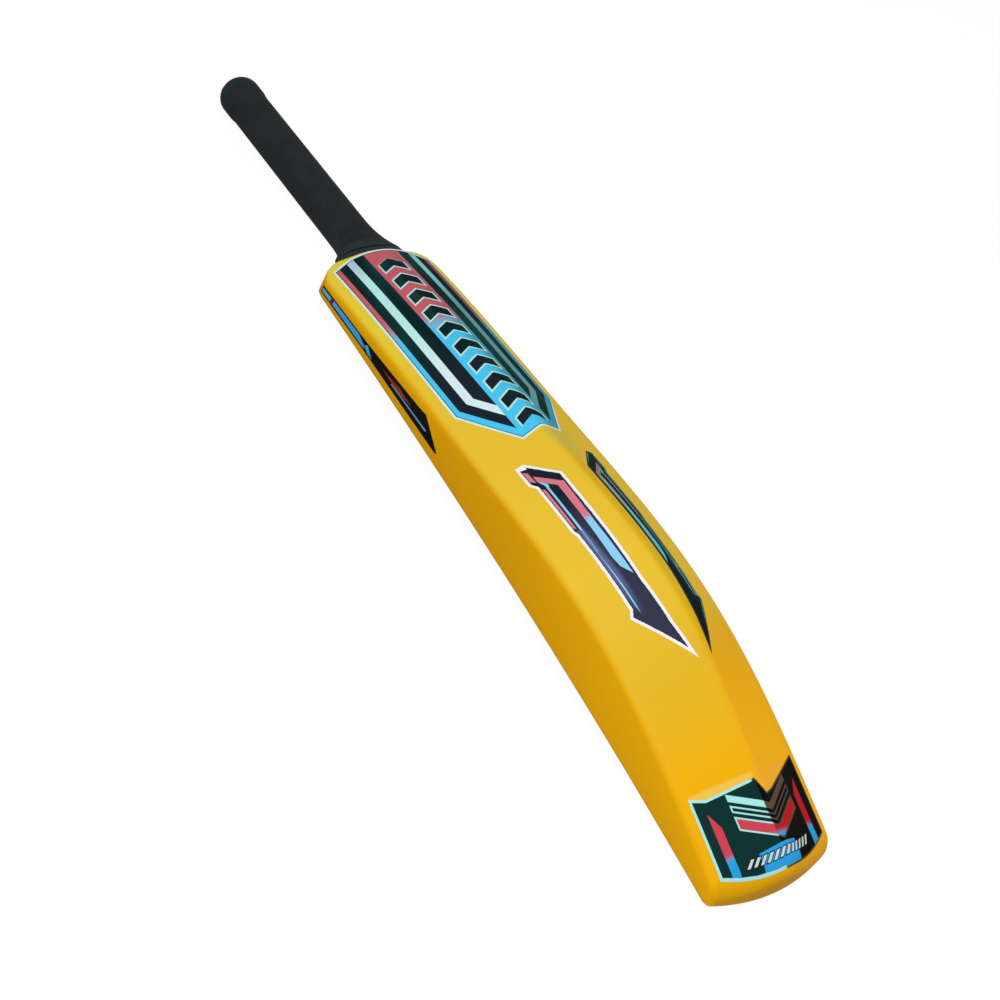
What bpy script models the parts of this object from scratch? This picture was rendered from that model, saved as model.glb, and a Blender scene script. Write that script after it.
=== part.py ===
"""Plastic cricket bat: a hollow moulded blade, a handle core with a spigot, a rubber grip and five stickers.

The bat is drawn in its blade's frame: x across, y from the toe to the handle, z out of the back, with
z = 0 on the chord of the bowed striking face. It is then laid face down on the floor, on its toe and
its butt, with the origin under the middle of its bounding box. Lengths are in metres.
"""

import math

import bmesh
import bpy
import numpy as np
from mathutils import Matrix, Vector

# Blade outline, seen from the back
BLADE_LENGTH = 0.5575
TOE_WIDTH = 0.108
SHOULDER_WIDTH = 0.1045
TOE_ARC_RADIUS = 0.150

# Striking face: its rise at half length, and how far that rise leans to the toe
FACE_BOW = 0.0082
FACE_BOW_TO_TOE = 0.0060

# Heights above the face at seven even stations from toe to top, before the corners are rounded
EDGE_HEIGHTS = (0.0160, 0.0375, 0.0495, 0.0460, 0.0355, 0.0265, 0.0147)
SPINE_HEIGHTS = (0.0370, 0.0575, 0.0775, 0.0720, 0.0580, 0.0455, 0.0318)

# Rounds along the blade. The spine's ridge opens into a broad crown towards the shoulders.
FACE_EDGE_ROUND = 0.004
BACK_EDGE_ROUND = 0.008
SPINE_ROUND = 0.014
SPINE_ROUND_AT_TOP = 0.095
SPINE_CROWN_START = 0.60
SPINE_ROUND_LIMIT = 0.6

# Rounds at the toe, where it meets the face, the side walls and the back
TOE_ROUNDS = (0.004, 0.0065, 0.012)

# Shoulders: oval corners seen from the back, and the rounds where the top meets the face and the back
SHOULDER_ACROSS = 0.030
SHOULDER_DOWN = 0.0195
TOP_FACE_ROUND = 0.0025
TOP_BACK_ROUND = 0.004
SMALLEST_ROUND = 0.0005

# Moulded wall, and the solid neck that holds the handle's socket
WALL = 0.003
NECK_DEPTH = 0.052

# Handle, from the middle of the blade's top face to the butt
HANDLE_HEIGHT = 0.0125
HANDLE_LEAN = math.radians(6.1)
HANDLE_LENGTH = 0.2246
GRIP_RADIUS_LOW = 0.0166
GRIP_RADIUS_HIGH = 0.0161
KNOB_RADIUS = 0.0169
KNOB_LENGTH = 0.0240
KNOB_STEP = 0.0080
BUTT_ROUND = 0.0135

# Flared skirt at the grip's lower end. Its lip lies a little nearer to the back than the shaft's axis.
LIP_HALF_WIDTH = 0.0310
LIP_HALF_HEIGHT = 0.0120
LIP_RISE = 0.0018
LIP_HEIGHT = 0.0046
FLARE_LENGTH = 0.0370

# Rubber sleeve, handle core and the foot that seats on the blade
SLEEVE_WALL = 0.0025
CORE_WALL = 0.004
FOOT_HALF_WIDTH = 0.0312
FOOT_HALF_HEIGHT = 0.0110
FOOT_EDGE_ROUND = 0.0008
SPIGOT_LENGTH = 0.050
SPIGOT_HALF_HEIGHT = 0.008
SPIGOT_TAPER = 0.0015
SPIGOT_RISE = 0.0020

# How far the spigot's sides stay inside the flat of the blade's top
SPIGOT_MARGIN = 0.003

# Stickers: thickness, and sizes on the blade as seen from the back
STICKER_THICKNESS = 0.0003
SHOULDER_LABEL_HALF_WIDTH = 0.044
SHOULDER_LABEL_MARGIN = 0.0020
SHOULDER_LABEL_CROWN = 0.0023
SHOULDER_LABEL_CHAMFER = (0.017, 0.007)
SHOULDER_LABEL_SIDE = 0.1660
SHOULDER_LABEL_POINT = (0.017, 0.040)
SHOULDER_LABEL_NOTCH = 0.0045

# Dart-shaped stickers on the flanks: corners across from the ridge and down from the blade's top
FLANK_LABEL_CORNERS = (
    (0.0348, 0.2370),
    (0.0285, 0.2360),
    (0.0117, 0.2545),
    (0.0126, 0.3525),
    (0.0102, 0.3875),
    (0.0058, 0.4165),
    (0.0320, 0.3740),
    (0.0296, 0.3685),
    (0.0306, 0.3040),
    (0.0318, 0.3005),
    (0.0318, 0.2580),
    (0.0348, 0.2540),
)

# Sticker at the toe: its bottom is an arc that leans to the right, and its top corners are as far
# across and up from the toe's end
TOE_LABEL_MARGIN = 0.0040
TOE_LABEL_ARC_RADIUS = 0.085
TOE_LABEL_LEAN = math.radians(2.5)
TOE_LABEL_TOP = (
    (-0.0485, 0.0670),
    (-0.0380, 0.0622),
    (-0.0030, 0.0610),
    (0.0025, 0.0500),
    (0.0095, 0.0520),
    (0.0458, 0.0705),
)

# Sticker on the left side wall: corners down from the blade's top and up from its face
EDGE_LABEL_CORNERS = (
    (0.0160, 0.0063),
    (0.0160, 0.0123),
    (0.0475, 0.0143),
    (0.0805, 0.0164),
    (0.1075, 0.0190),
    (0.1530, 0.0242),
    (0.1605, 0.0258),
    (0.1855, 0.0118),
    (0.1840, 0.0106),
    (0.0875, 0.0086),
)

# Gap kept between touching pieces. The sleeve's is measured across the handle, so it is less in the skirt.
SEAT_GAP = 0.0003
SLEEVE_GAP = 0.0004

# Fineness of the lofts. The face gets the steps that pair its points with those of the back.
FACE_EDGE_STEPS = 2
BACK_EDGE_STEPS = 4
FLANK_STEPS = 4
SPINE_STEPS = 4
FACE_STEPS = 2 * (BACK_EDGE_STEPS + FLANK_STEPS - FACE_EDGE_STEPS) + SPINE_STEPS
CHAIN_POINTS = FACE_STEPS + 2 * FACE_EDGE_STEPS + 1
RING_POINTS = 2 * CHAIN_POINTS
OUTER_STATIONS = 28
INNER_STATIONS = 11
STATION_MARGIN = 0.003
INNER_TOE_TURNS = 3
TOE_TURNS = 5
SHOULDER_TURNS = 8
BUTT_TURNS = 6
SMOOTH_ANGLE = math.radians(35)

# The skins that the stickers are cut from: how far they run past them, and onto the blade's ends
SKIN_MARGIN = 0.004
SKIN_LAST_TURN = 0.8

HANDLE_FOOT = Vector((0, BLADE_LENGTH, HANDLE_HEIGHT))
SPIGOT_HALF_WIDTH = SHOULDER_WIDTH / 2 - SHOULDER_ACROSS - SPIGOT_MARGIN


def mix(low, high, share):
    return low + (high - low) * share


def ease(share):
    """A smooth rise from 0 to 1."""
    share = min(max(share, 0.0), 1.0)
    return share * share * (3 - 2 * share)


def spline_bends(heights):
    """Second differences of the smooth curve through evenly spaced heights."""
    values = np.array(heights)
    count = len(values)
    system = 4 * np.eye(count) + np.eye(count, k=1) + np.eye(count, k=-1)
    system[0, :3] = (1, -2, 1)
    system[-1, -3:] = (1, -2, 1)
    target = np.zeros(count)
    target[1:-1] = 6 * (values[2:] - 2 * values[1:-1] + values[:-2])
    target[0] = target[-1] = 0
    return np.linalg.solve(system, target)


EDGE_BENDS = spline_bends(EDGE_HEIGHTS)
SPINE_BENDS = spline_bends(SPINE_HEIGHTS)


def spline_height(heights, bends, share):
    """Height of the smooth curve at a share of the blade's length."""
    place = share * (len(heights) - 1)
    low = min(max(int(math.floor(place)), 0), len(heights) - 2)
    after = place - low
    before = 1 - after
    straight = before * heights[low] + after * heights[low + 1]
    curve = (before**3 - before) * bends[low] + (after**3 - after) * bends[low + 1]
    return straight + curve / 6


def face_height(y):
    """Height of the bowed striking face above its chord."""
    share = y / BLADE_LENGTH
    return share * (1 - share) * (4 * FACE_BOW + FACE_BOW_TO_TOE * (1 - 2 * share))


def rounded_corner(before, corner, after, radius, steps):
    """Points of the arc that rounds one corner of a section, from the side of before to that of after."""
    back = (before - corner).normalized()
    ahead = (after - corner).normalized()
    half = back.angle(ahead) / 2
    middle = corner + (back + ahead).normalized() * (radius / math.sin(half))
    start = corner + back * (radius / math.tan(half)) - middle
    sweep = math.pi - 2 * half
    return [middle + Matrix.Rotation(sweep * i / steps, 2) @ start for i in range(steps + 1)]


def between(start, end, steps):
    """The points inside a straight run."""
    return [start.lerp(end, i / steps) for i in range(1, steps)]


def blade_section(y, face_inset, side_inset, back_inset):
    """The blade's section at y as (x, z) points, drawn in from the face, the side walls and the back.

    The first half of the points runs along the face from left to right, and the second half returns over
    the back, so that point i of the face lies under point RING_POINTS - 1 - i of the back.
    """
    share = y / BLADE_LENGTH
    half_width = mix(TOE_WIDTH, SHOULDER_WIDTH, share) / 2
    face = face_height(y)
    edge = face + spline_height(EDGE_HEIGHTS, EDGE_BENDS, share)
    spine = face + spline_height(SPINE_HEIGHTS, SPINE_BENDS, share)
    slope = (spine - edge) / half_width
    drop = back_inset * math.hypot(1, slope)
    x = half_width - side_inset
    low = face + face_inset
    high = edge + slope * side_inset - drop
    ridge = Vector((0, spine - drop))
    low_left, low_right = Vector((-x, low)), Vector((x, low))
    high_left, high_right = Vector((-x, high)), Vector((x, high))

    crown = ease((share - SPINE_CROWN_START) / (1 - SPINE_CROWN_START))
    widest_spine_round = SPINE_ROUND_LIMIT * x * math.hypot(1, slope) / slope
    spine_round = min(mix(SPINE_ROUND, SPINE_ROUND_AT_TOP, crown) - back_inset, widest_spine_round)
    face_edge_round = max(FACE_EDGE_ROUND - max(face_inset, side_inset), SMALLEST_ROUND)
    back_edge_round = max(BACK_EDGE_ROUND - max(back_inset, side_inset), SMALLEST_ROUND)

    left_foot = rounded_corner(high_left, low_left, low_right, face_edge_round, FACE_EDGE_STEPS)
    right_foot = rounded_corner(low_left, low_right, high_right, face_edge_round, FACE_EDGE_STEPS)
    right_edge = rounded_corner(low_right, high_right, ridge, back_edge_round, BACK_EDGE_STEPS)
    crest = rounded_corner(high_right, ridge, high_left, spine_round, SPINE_STEPS)
    left_edge = rounded_corner(ridge, high_left, low_left, back_edge_round, BACK_EDGE_STEPS)
    return [
        *left_foot,
        *between(left_foot[-1], right_foot[0], FACE_STEPS),
        *right_foot,
        *right_edge,
        *between(right_edge[-1], crest[0], FLANK_STEPS),
        *crest,
        *between(crest[-1], left_edge[0], FLANK_STEPS),
        *left_edge,
    ]


def zone_shares():
    """How far each point of a section belongs to the face, the side walls and the back."""
    to_face = [i / FACE_EDGE_STEPS for i in range(FACE_EDGE_STEPS + 1)]
    to_back = [i / BACK_EDGE_STEPS for i in range(BACK_EDGE_STEPS + 1)]
    back_points = CHAIN_POINTS - 2 * len(to_back)
    return [
        *[(share, 1 - share, 0) for share in to_face],
        *[(1, 0, 0)] * (FACE_STEPS - 1),
        *[(share, 1 - share, 0) for share in reversed(to_face)],
        *[(0, 1 - share, share) for share in to_back],
        *[(0, 0, 1)] * back_points,
        *[(0, 1 - share, share) for share in reversed(to_back)],
    ]


ZONES = zone_shares()


def station_ring(y, inset):
    """A flat ring of the blade at y."""
    return [Vector((x, y, z)) for x, z in blade_section(y, inset, inset, inset)]


def toe_line(x):
    """Where the toe's arc lies at x."""
    return x * x / (2 * TOE_ARC_RADIUS)


def toe_ring(turn, inset):
    """A ring on the rounded toe: turn 0 is where the round starts, 1 where the end face does."""
    angle = turn * math.pi / 2
    radii = [max(radius - inset, SMALLEST_ROUND) for radius in TOE_ROUNDS]
    insets = [inset + radius * (1 - math.cos(angle)) for radius in radii]
    depths = [inset + radius * (1 - math.sin(angle)) for radius in radii]
    ring = []
    for index, shares in enumerate(ZONES):
        depth = sum(share * value for share, value in zip(shares, depths))
        x = blade_section(depth, *insets)[index].x
        y = toe_line(x) + depth
        point = blade_section(y, *insets)[index]
        ring.append(Vector((point.x, y, point.y)))
    return ring


def toe_rings(turns, inset):
    return [toe_ring(turn, inset) for turn in turns]


def round_inset(radius, depth):
    """How far a rounded edge is drawn in at a depth below the end that it leads to."""
    left = max(radius - depth, 0)
    return radius - math.sqrt(max(radius * radius - left * left, 0))


def shoulder_ring(turn, inset):
    """A flat ring through the shoulders: turn 0 is where their oval leaves the side walls, 1 the top face."""
    angle = turn * math.pi / 2
    depth = (SHOULDER_DOWN - inset) * (1 - math.sin(angle))
    face_inset = inset + round_inset(TOP_FACE_ROUND, depth)
    side_inset = inset + (SHOULDER_ACROSS - inset) * (1 - math.cos(angle))
    back_inset = inset + round_inset(TOP_BACK_ROUND, depth)
    y = BLADE_LENGTH - inset - depth
    return [Vector((x, y, z)) for x, z in blade_section(y, face_inset, side_inset, back_inset)]


def shoulder_rings(turns, inset):
    return [shoulder_ring(turn, inset) for turn in turns]


# Where the blade's even stations start and end, just inside its rounded ends
FIRST_STATION = toe_line(TOE_WIDTH / 2) + max(TOE_ROUNDS) + STATION_MARGIN
LAST_STATION = BLADE_LENGTH - SHOULDER_DOWN - STATION_MARGIN


def station_rings(low, high, count, inset):
    return [station_ring(y, inset) for y in np.linspace(low, high, count)]


def oval(middle, half_width, half_height, up):
    """A ring of the handle, its points in the order of the blade's sections."""
    ring = []
    for i in range(RING_POINTS):
        angle = math.pi + 2 * math.pi * (i + 0.5) / RING_POINTS
        across = Vector((half_width * math.cos(angle), 0, 0))
        ring.append(middle + across + up * half_height * math.sin(angle))
    return ring


def spigot_ring(depth, clearance):
    """A ring of the tapered spigot, or of its socket, square to the blade."""
    share = depth / SPIGOT_LENGTH
    middle = HANDLE_FOOT + Vector((0, -depth, SPIGOT_RISE * share))
    half_width = SPIGOT_HALF_WIDTH - SPIGOT_TAPER * share + clearance
    half_height = SPIGOT_HALF_HEIGHT - SPIGOT_TAPER * share + clearance
    return oval(middle, half_width, half_height, Vector((0, 0, 1)))


def grip_sizes(along):
    """The grip's half width, half height and rise at a distance from the blade's top."""
    knob_start = HANDLE_LENGTH - KNOB_LENGTH - KNOB_STEP
    radius = mix(GRIP_RADIUS_LOW, GRIP_RADIUS_HIGH, min(along / knob_start, 1))
    radius += (KNOB_RADIUS - GRIP_RADIUS_HIGH) * ease((along - knob_start) / KNOB_STEP)
    left = 1 - min(max((along - LIP_HEIGHT) / FLARE_LENGTH, 0), 1)
    flare = left**3
    return mix(radius, LIP_HALF_WIDTH, flare), mix(radius, LIP_HALF_HEIGHT, flare), LIP_RISE * flare


def handle_ring(along, half_width, half_height, rise):
    """A ring square to the handle's leaning axis, its middle a given rise above that axis."""
    axis = Vector((0, math.cos(HANDLE_LEAN), -math.sin(HANDLE_LEAN)))
    up = Vector((0, math.sin(HANDLE_LEAN), math.cos(HANDLE_LEAN)))
    return oval(HANDLE_FOOT + axis * along + up * rise, half_width, half_height, up)


def grip_ring(along, inset):
    half_width, half_height, rise = grip_sizes(along)
    return handle_ring(along, half_width - inset, half_height - inset, rise)


def grip_places():
    """Places of the rings along the grip, closer together in the skirt and at the knob.

    The sleeve and the core share them, which keeps their surfaces an even gap apart.
    """
    skirt = np.linspace(LIP_HEIGHT + SLEEVE_WALL / 2, LIP_HEIGHT + FLARE_LENGTH, 9)
    shaft = np.linspace(skirt[-1], HANDLE_LENGTH - KNOB_LENGTH - KNOB_STEP, 4)
    knob = np.linspace(shaft[-1], HANDLE_LENGTH - KNOB_LENGTH, 5)
    return [*skirt, *shaft[1:], *knob[1:]]


def butt_rings(inset):
    """The rounded butt, from the knob's side to the rim of its flat end."""
    radius = BUTT_ROUND - inset
    rings = []
    for turn in np.linspace(0, math.pi / 2, BUTT_TURNS):
        along = HANDLE_LENGTH - BUTT_ROUND + radius * math.sin(turn)
        half = KNOB_RADIUS - inset - radius * (1 - math.cos(turn))
        rings.append(handle_ring(along, half, half, 0))
    return rings


def add_object(name, mesh, material, collection, root, origin):
    """Puts a finished mesh in the scene, with its origin moved to where the piece is seated."""
    mesh.transform(Matrix.Translation(-origin))
    mesh.materials.append(material)
    piece = bpy.data.objects.new(name, mesh)
    piece.location = origin
    piece.parent = root
    collection.objects.link(piece)
    return piece


def loft(name, rings, ends):
    """A closed mesh through rings of points. ends is 'strips', 'flat' or 'joined', the last for a band."""
    built = bmesh.new()
    loops = [[built.verts.new(point) for point in ring] for ring in rings]
    pairs = list(zip(loops, loops[1:]))
    if ends == "joined":
        pairs.append((loops[-1], loops[0]))
    for low, high in pairs:
        for i in range(RING_POINTS):
            after = (i + 1) % RING_POINTS
            built.faces.new((low[i], low[after], high[after], high[i]))
    for loop in (loops[0], loops[-1]):
        if ends == "flat":
            built.faces.new(loop)
        if ends == "strips":
            for i in range(CHAIN_POINTS - 1):
                built.faces.new((loop[i], loop[i + 1], loop[RING_POINTS - 2 - i], loop[RING_POINTS - 1 - i]))
    bmesh.ops.recalc_face_normals(built, faces=built.faces)
    mesh = bpy.data.meshes.new(name)
    built.to_mesh(mesh)
    built.free()
    mesh.shade_smooth()
    mesh.set_sharp_from_angle(angle=SMOOTH_ANGLE)
    return mesh


def blade_mesh():
    """The blade as one wall: its cavity from the toe up, out through the socket, and back down outside."""
    turns_in = np.linspace(0, 1, INNER_TOE_TURNS)
    turns_out = np.linspace(0, 1, TOE_TURNS)
    turns_top = np.linspace(0, 1, SHOULDER_TURNS)
    neck = BLADE_LENGTH - NECK_DEPTH
    rings = [
        *toe_rings(reversed(turns_in), WALL),
        *station_rings(FIRST_STATION, neck, INNER_STATIONS, WALL),
        spigot_ring(NECK_DEPTH, SEAT_GAP),
        spigot_ring(0, SEAT_GAP),
        *shoulder_rings(reversed(turns_top), 0),
        *station_rings(LAST_STATION, FIRST_STATION, OUTER_STATIONS, 0),
        *toe_rings(turns_out, 0),
    ]
    return loft("blade_shell", rings, "strips")


def core_mesh():
    """The handle's hollow core: bore, spigot, foot, the taper inside the skirt, shaft and knob."""
    inset = SLEEVE_WALL + SLEEVE_GAP
    foot_top = LIP_HEIGHT - SEAT_GAP
    up = Vector((0, 0, 1))
    spigot_top = HANDLE_FOOT + Vector((0, SEAT_GAP, 0))
    foot_middle = spigot_top + Vector((0, 0, LIP_RISE))
    foot_side = FOOT_HALF_WIDTH - FOOT_EDGE_ROUND
    foot_back = FOOT_HALF_HEIGHT - FOOT_EDGE_ROUND
    neck_width, neck_height, neck_rise = grip_sizes(foot_top)
    bore_end = HANDLE_LENGTH - SLEEVE_WALL - CORE_WALL - BUTT_ROUND / 2
    bore_places = [LIP_HEIGHT, *np.linspace(LIP_HEIGHT + FLARE_LENGTH / 2, bore_end, 4)]
    bore = [grip_ring(along, inset + CORE_WALL) for along in reversed(bore_places)]
    rings = [
        *bore,
        spigot_ring(0, -CORE_WALL),
        spigot_ring(SPIGOT_LENGTH, -CORE_WALL),
        spigot_ring(SPIGOT_LENGTH, 0),
        oval(spigot_top, SPIGOT_HALF_WIDTH, SPIGOT_HALF_HEIGHT, up),
        oval(foot_middle, FOOT_HALF_WIDTH, FOOT_HALF_HEIGHT, up),
        handle_ring(foot_top - FOOT_EDGE_ROUND, FOOT_HALF_WIDTH, FOOT_HALF_HEIGHT, LIP_RISE),
        handle_ring(foot_top, foot_side, foot_back, LIP_RISE),
        handle_ring(foot_top, neck_width - inset, neck_height - inset, neck_rise),
        *[grip_ring(along, inset) for along in grip_places()],
        *butt_rings(inset),
    ]
    return loft("handle_core", rings, "flat")


def sleeve_mesh():
    """The rubber sleeve: its inside from the butt down, round the lip, and up outside."""
    rim = SLEEVE_WALL / 2
    outer = [grip_ring(along, 0) for along in grip_places()]
    inner = [grip_ring(along, SLEEVE_WALL) for along in grip_places()]
    lip = []
    for turn in np.linspace(0, math.pi, 5)[1:-1]:
        lip.append(grip_ring(LIP_HEIGHT + rim * (1 - math.sin(turn)), rim * (1 + math.cos(turn))))
    rings = [
        *reversed(butt_rings(SLEEVE_WALL)),
        *reversed(inner),
        *lip,
        *outer,
        *butt_rings(0),
    ]
    return loft("grip_sleeve", rings, "flat")


def blade_skin(low, high, at_toe, at_shoulders):
    """A closed band one sticker thick, which lies round the blade from low to high."""
    count = max(2, round((high - low) / (LAST_STATION - FIRST_STATION) * OUTER_STATIONS))
    turns = np.linspace(0, SKIN_LAST_TURN, TOE_TURNS)
    turns_top = np.linspace(0, SKIN_LAST_TURN, SHOULDER_TURNS)

    def layer(inset):
        rings = station_rings(low, high, count, inset)
        if at_toe:
            rings = toe_rings(reversed(turns), inset) + rings
        if at_shoulders:
            rings = rings + shoulder_rings(turns_top, inset)
        return rings

    outer = layer(-SEAT_GAP - STICKER_THICKNESS)
    inner = layer(-SEAT_GAP)
    return loft("skin", outer + inner[::-1], "joined")


def prism(name, outline, depth, collection, root):
    """A cutter that stands on an outline and reaches by depth along its third direction."""
    built = bmesh.new()
    base = built.faces.new([built.verts.new(point) for point in outline])
    raised = bmesh.ops.extrude_face_region(built, geom=[base])["geom"]
    raised_points = [item for item in raised if isinstance(item, bmesh.types.BMVert)]
    bmesh.ops.translate(built, vec=depth, verts=raised_points)
    bmesh.ops.recalc_face_normals(built, faces=built.faces)
    mesh = bpy.data.meshes.new(name)
    built.to_mesh(mesh)
    built.free()
    cutter = bpy.data.objects.new(name, mesh)
    cutter.parent = root
    cutter.hide_render = True
    cutter.display_type = "WIRE"
    collection.objects.link(cutter)
    return cutter


def sticker(name, skin, cutter, material, collection, root, origin):
    """The part of the skin that lies inside the cutter."""
    piece = add_object(name, skin, material, collection, root, origin)
    skin.name = name
    cut = piece.modifiers.new("outline", "BOOLEAN")
    cut.operation = "INTERSECT"
    cut.object = cutter
    return piece


def back_prism(name, outline, collection, root):
    """A cutter over the blade's back, which stays clear of its face."""
    low = FACE_BOW + WALL
    height = max(SPINE_HEIGHTS)
    base = [Vector((x, y, low)) for x, y in outline]
    return prism(name, base, Vector((0, 0, height)), collection, root)


def arc_points(left, right, rise, steps):
    """Points of a flat arc from left to right that rises by rise at its middle."""
    points = []
    for i in range(steps + 1):
        share = i / steps
        y = mix(left[1], right[1], share) + 4 * rise * share * (1 - share)
        points.append((mix(left[0], right[0], share), y))
    return points


def shoulder_label_outline():
    half = SHOULDER_LABEL_HALF_WIDTH
    chamfer_across, chamfer_down = SHOULDER_LABEL_CHAMFER
    point_half, point_down = SHOULDER_LABEL_POINT
    top = BLADE_LENGTH - SHOULDER_LABEL_MARGIN - SHOULDER_LABEL_CROWN
    side_end = top - chamfer_down - SHOULDER_LABEL_SIDE
    crown = arc_points((-half + chamfer_across, top), (half - chamfer_across, top), SHOULDER_LABEL_CROWN, 8)
    return [
        (-half, top - chamfer_down),
        *crown,
        (half, top - chamfer_down),
        (half, side_end),
        (point_half, side_end - point_down),
        (0, side_end - point_down + SHOULDER_LABEL_NOTCH),
        (-point_half, side_end - point_down),
        (-half, side_end),
    ]


def toe_label_outline():
    left = TOE_LABEL_TOP[0][0]
    right = TOE_LABEL_TOP[-1][0]
    steps = 12
    bottom = []
    for i in range(steps + 1):
        x = mix(right, left, i / steps)
        rise = x * math.tan(TOE_LABEL_LEAN) + x * x / (2 * TOE_LABEL_ARC_RADIUS)
        bottom.append((x, TOE_LABEL_MARGIN + rise))
    return [*TOE_LABEL_TOP, *bottom]


def edge_label_outline(x):
    """Corners of the side wall's sticker at x, a given way down from the blade's top."""
    points = []
    for down, rise in EDGE_LABEL_CORNERS:
        y = BLADE_LENGTH - down
        points.append(Vector((x, y, face_height(y) + rise)))
    return points


def colour(red, green, blue):
    """A colour as it reads on a screen, from 0 to 255, in the linear values that a shader takes."""
    values = []
    for channel in (red, green, blue):
        share = channel / 255
        values.append(share / 12.92 if share <= 0.04045 else ((share + 0.055) / 1.055) ** 2.4)
    return (*values, 1)


def material(name, base, roughness):
    made = bpy.data.materials.new(name)
    made.use_nodes = True
    shader = made.node_tree.nodes["Principled BSDF"]
    shader.inputs["Base Color"].default_value = base
    shader.inputs["Roughness"].default_value = roughness
    shader.inputs["Metallic"].default_value = 0
    made.diffuse_color = base
    return made


def lowest(points, in_front):
    return min((point for point in points if (point.y < BLADE_LENGTH / 2) == in_front), key=lambda p: p.z)


def lay_on_floor(root, pieces):
    """Turns the bat until its toe and its butt both touch the floor, and centres it over the origin."""
    bpy.context.view_layer.update()
    graph = bpy.context.evaluated_depsgraph_get()
    points = []
    for piece in pieces:
        shown = piece.evaluated_get(graph)
        points += [piece.matrix_world @ vertex.co for vertex in shown.to_mesh().vertices]
        shown.to_mesh_clear()
    tilt = 0.0
    for _ in range(8):
        turned = [Matrix.Rotation(tilt, 3, "X") @ point for point in points]
        toe = lowest(turned, True)
        butt = lowest(turned, False)
        tilt += math.atan2(toe.z - butt.z, butt.y - toe.y)
    turned = [Matrix.Rotation(tilt, 3, "X") @ point for point in points]
    low = [min(point[axis] for point in turned) for axis in range(3)]
    high = [max(point[axis] for point in turned) for axis in range(3)]
    root.rotation_euler = (tilt, 0, 0)
    root.location = (-(low[0] + high[0]) / 2, -(low[1] + high[1]) / 2, -low[2])


def clear_scene():
    for item in list(bpy.data.objects):
        bpy.data.objects.remove(item, do_unlink=True)


def new_collection(name):
    made = bpy.data.collections.new(name)
    bpy.context.scene.collection.children.link(made)
    return made


def main():
    clear_scene()
    parts = new_collection("plastic_cricket_bat")
    cutters = new_collection("cutters")
    root = bpy.data.objects.new("bat_on_floor", None)
    parts.objects.link(root)

    yellow = material("blade_plastic", colour(232, 182, 30), 0.32)
    core_black = material("core_plastic", colour(31, 43, 44), 0.45)
    grip_black = material("grip_rubber", colour(36, 40, 42), 0.8)
    toe_middle = Vector((0, 0, 0))

    pieces = [
        add_object("blade_shell", blade_mesh(), yellow, parts, root, toe_middle),
        add_object("handle_core", core_mesh(), core_black, parts, root, HANDLE_FOOT),
        add_object("grip_sleeve", sleeve_mesh(), grip_black, parts, root, HANDLE_FOOT),
    ]

    outline = shoulder_label_outline()
    skin = blade_skin(min(y for x, y in outline) - SKIN_MARGIN, LAST_STATION, False, True)
    cutter = back_prism("shoulder_label_outline", outline, cutters, root)
    ink = material("shoulder_label_vinyl", colour(20, 62, 62), 0.35)
    pieces.append(sticker("shoulder_label", skin, cutter, ink, parts, root, toe_middle))

    for side, name in ((-1, "left_flank_label"), (1, "right_flank_label")):
        outline = [(side * x, BLADE_LENGTH - down) for x, down in FLANK_LABEL_CORNERS]
        heights = [y for x, y in outline]
        skin = blade_skin(min(heights) - SKIN_MARGIN, max(heights) + SKIN_MARGIN, False, False)
        cutter = back_prism(name + "_outline", outline, cutters, root)
        ink = material(name + "_vinyl", colour(60, 55, 80), 0.35)
        pieces.append(sticker(name, skin, cutter, ink, parts, root, toe_middle))

    outline = toe_label_outline()
    highest = max(y for x, y in outline)
    skin = blade_skin(FIRST_STATION, highest + SKIN_MARGIN, True, False)
    cutter = back_prism("toe_label_outline", outline, cutters, root)
    ink = material("toe_label_vinyl", colour(32, 40, 50), 0.35)
    pieces.append(sticker("toe_label", skin, cutter, ink, parts, root, toe_middle))

    lowest_corner = BLADE_LENGTH - max(down for down, rise in EDGE_LABEL_CORNERS)
    skin = blade_skin(lowest_corner - SKIN_MARGIN, LAST_STATION, False, True)
    outside = max(TOE_WIDTH, SHOULDER_WIDTH) / 2 + WALL
    inside = min(TOE_WIDTH, SHOULDER_WIDTH) / 2 - BACK_EDGE_ROUND
    outline = edge_label_outline(-outside)
    reach = Vector((outside - inside, 0, 0))
    cutter = prism("left_edge_label_outline", outline, reach, cutters, root)
    ink = material("left_edge_label_vinyl", colour(60, 40, 40), 0.35)
    pieces.append(sticker("left_edge_label", skin, cutter, ink, parts, root, toe_middle))

    lay_on_floor(root, pieces)


main()
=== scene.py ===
import math

import bmesh
import bpy
import numpy as np
from mathutils import Matrix, Vector


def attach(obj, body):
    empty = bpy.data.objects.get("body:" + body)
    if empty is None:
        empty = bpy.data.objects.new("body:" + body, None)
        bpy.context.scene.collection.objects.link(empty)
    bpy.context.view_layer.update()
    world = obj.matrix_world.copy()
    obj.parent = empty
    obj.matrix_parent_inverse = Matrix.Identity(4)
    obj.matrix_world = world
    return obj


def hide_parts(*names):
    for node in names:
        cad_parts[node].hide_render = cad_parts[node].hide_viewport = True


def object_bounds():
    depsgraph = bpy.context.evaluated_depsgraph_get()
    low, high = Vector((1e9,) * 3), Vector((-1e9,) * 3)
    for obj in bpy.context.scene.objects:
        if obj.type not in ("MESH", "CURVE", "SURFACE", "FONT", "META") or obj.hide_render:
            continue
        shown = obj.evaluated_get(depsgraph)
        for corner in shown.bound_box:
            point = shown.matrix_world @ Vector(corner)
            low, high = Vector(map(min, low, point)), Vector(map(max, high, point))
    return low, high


# Looks of the plastic cricket bat. Meshes are worked out in the blade's frame, as the solids are: x across,
# y from the toe to the handle, z out of the back. add_piece moves them into the row frame. Shapes are in
# metres. The stickers' outlines and every place inside a material are in millimetres.

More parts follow.
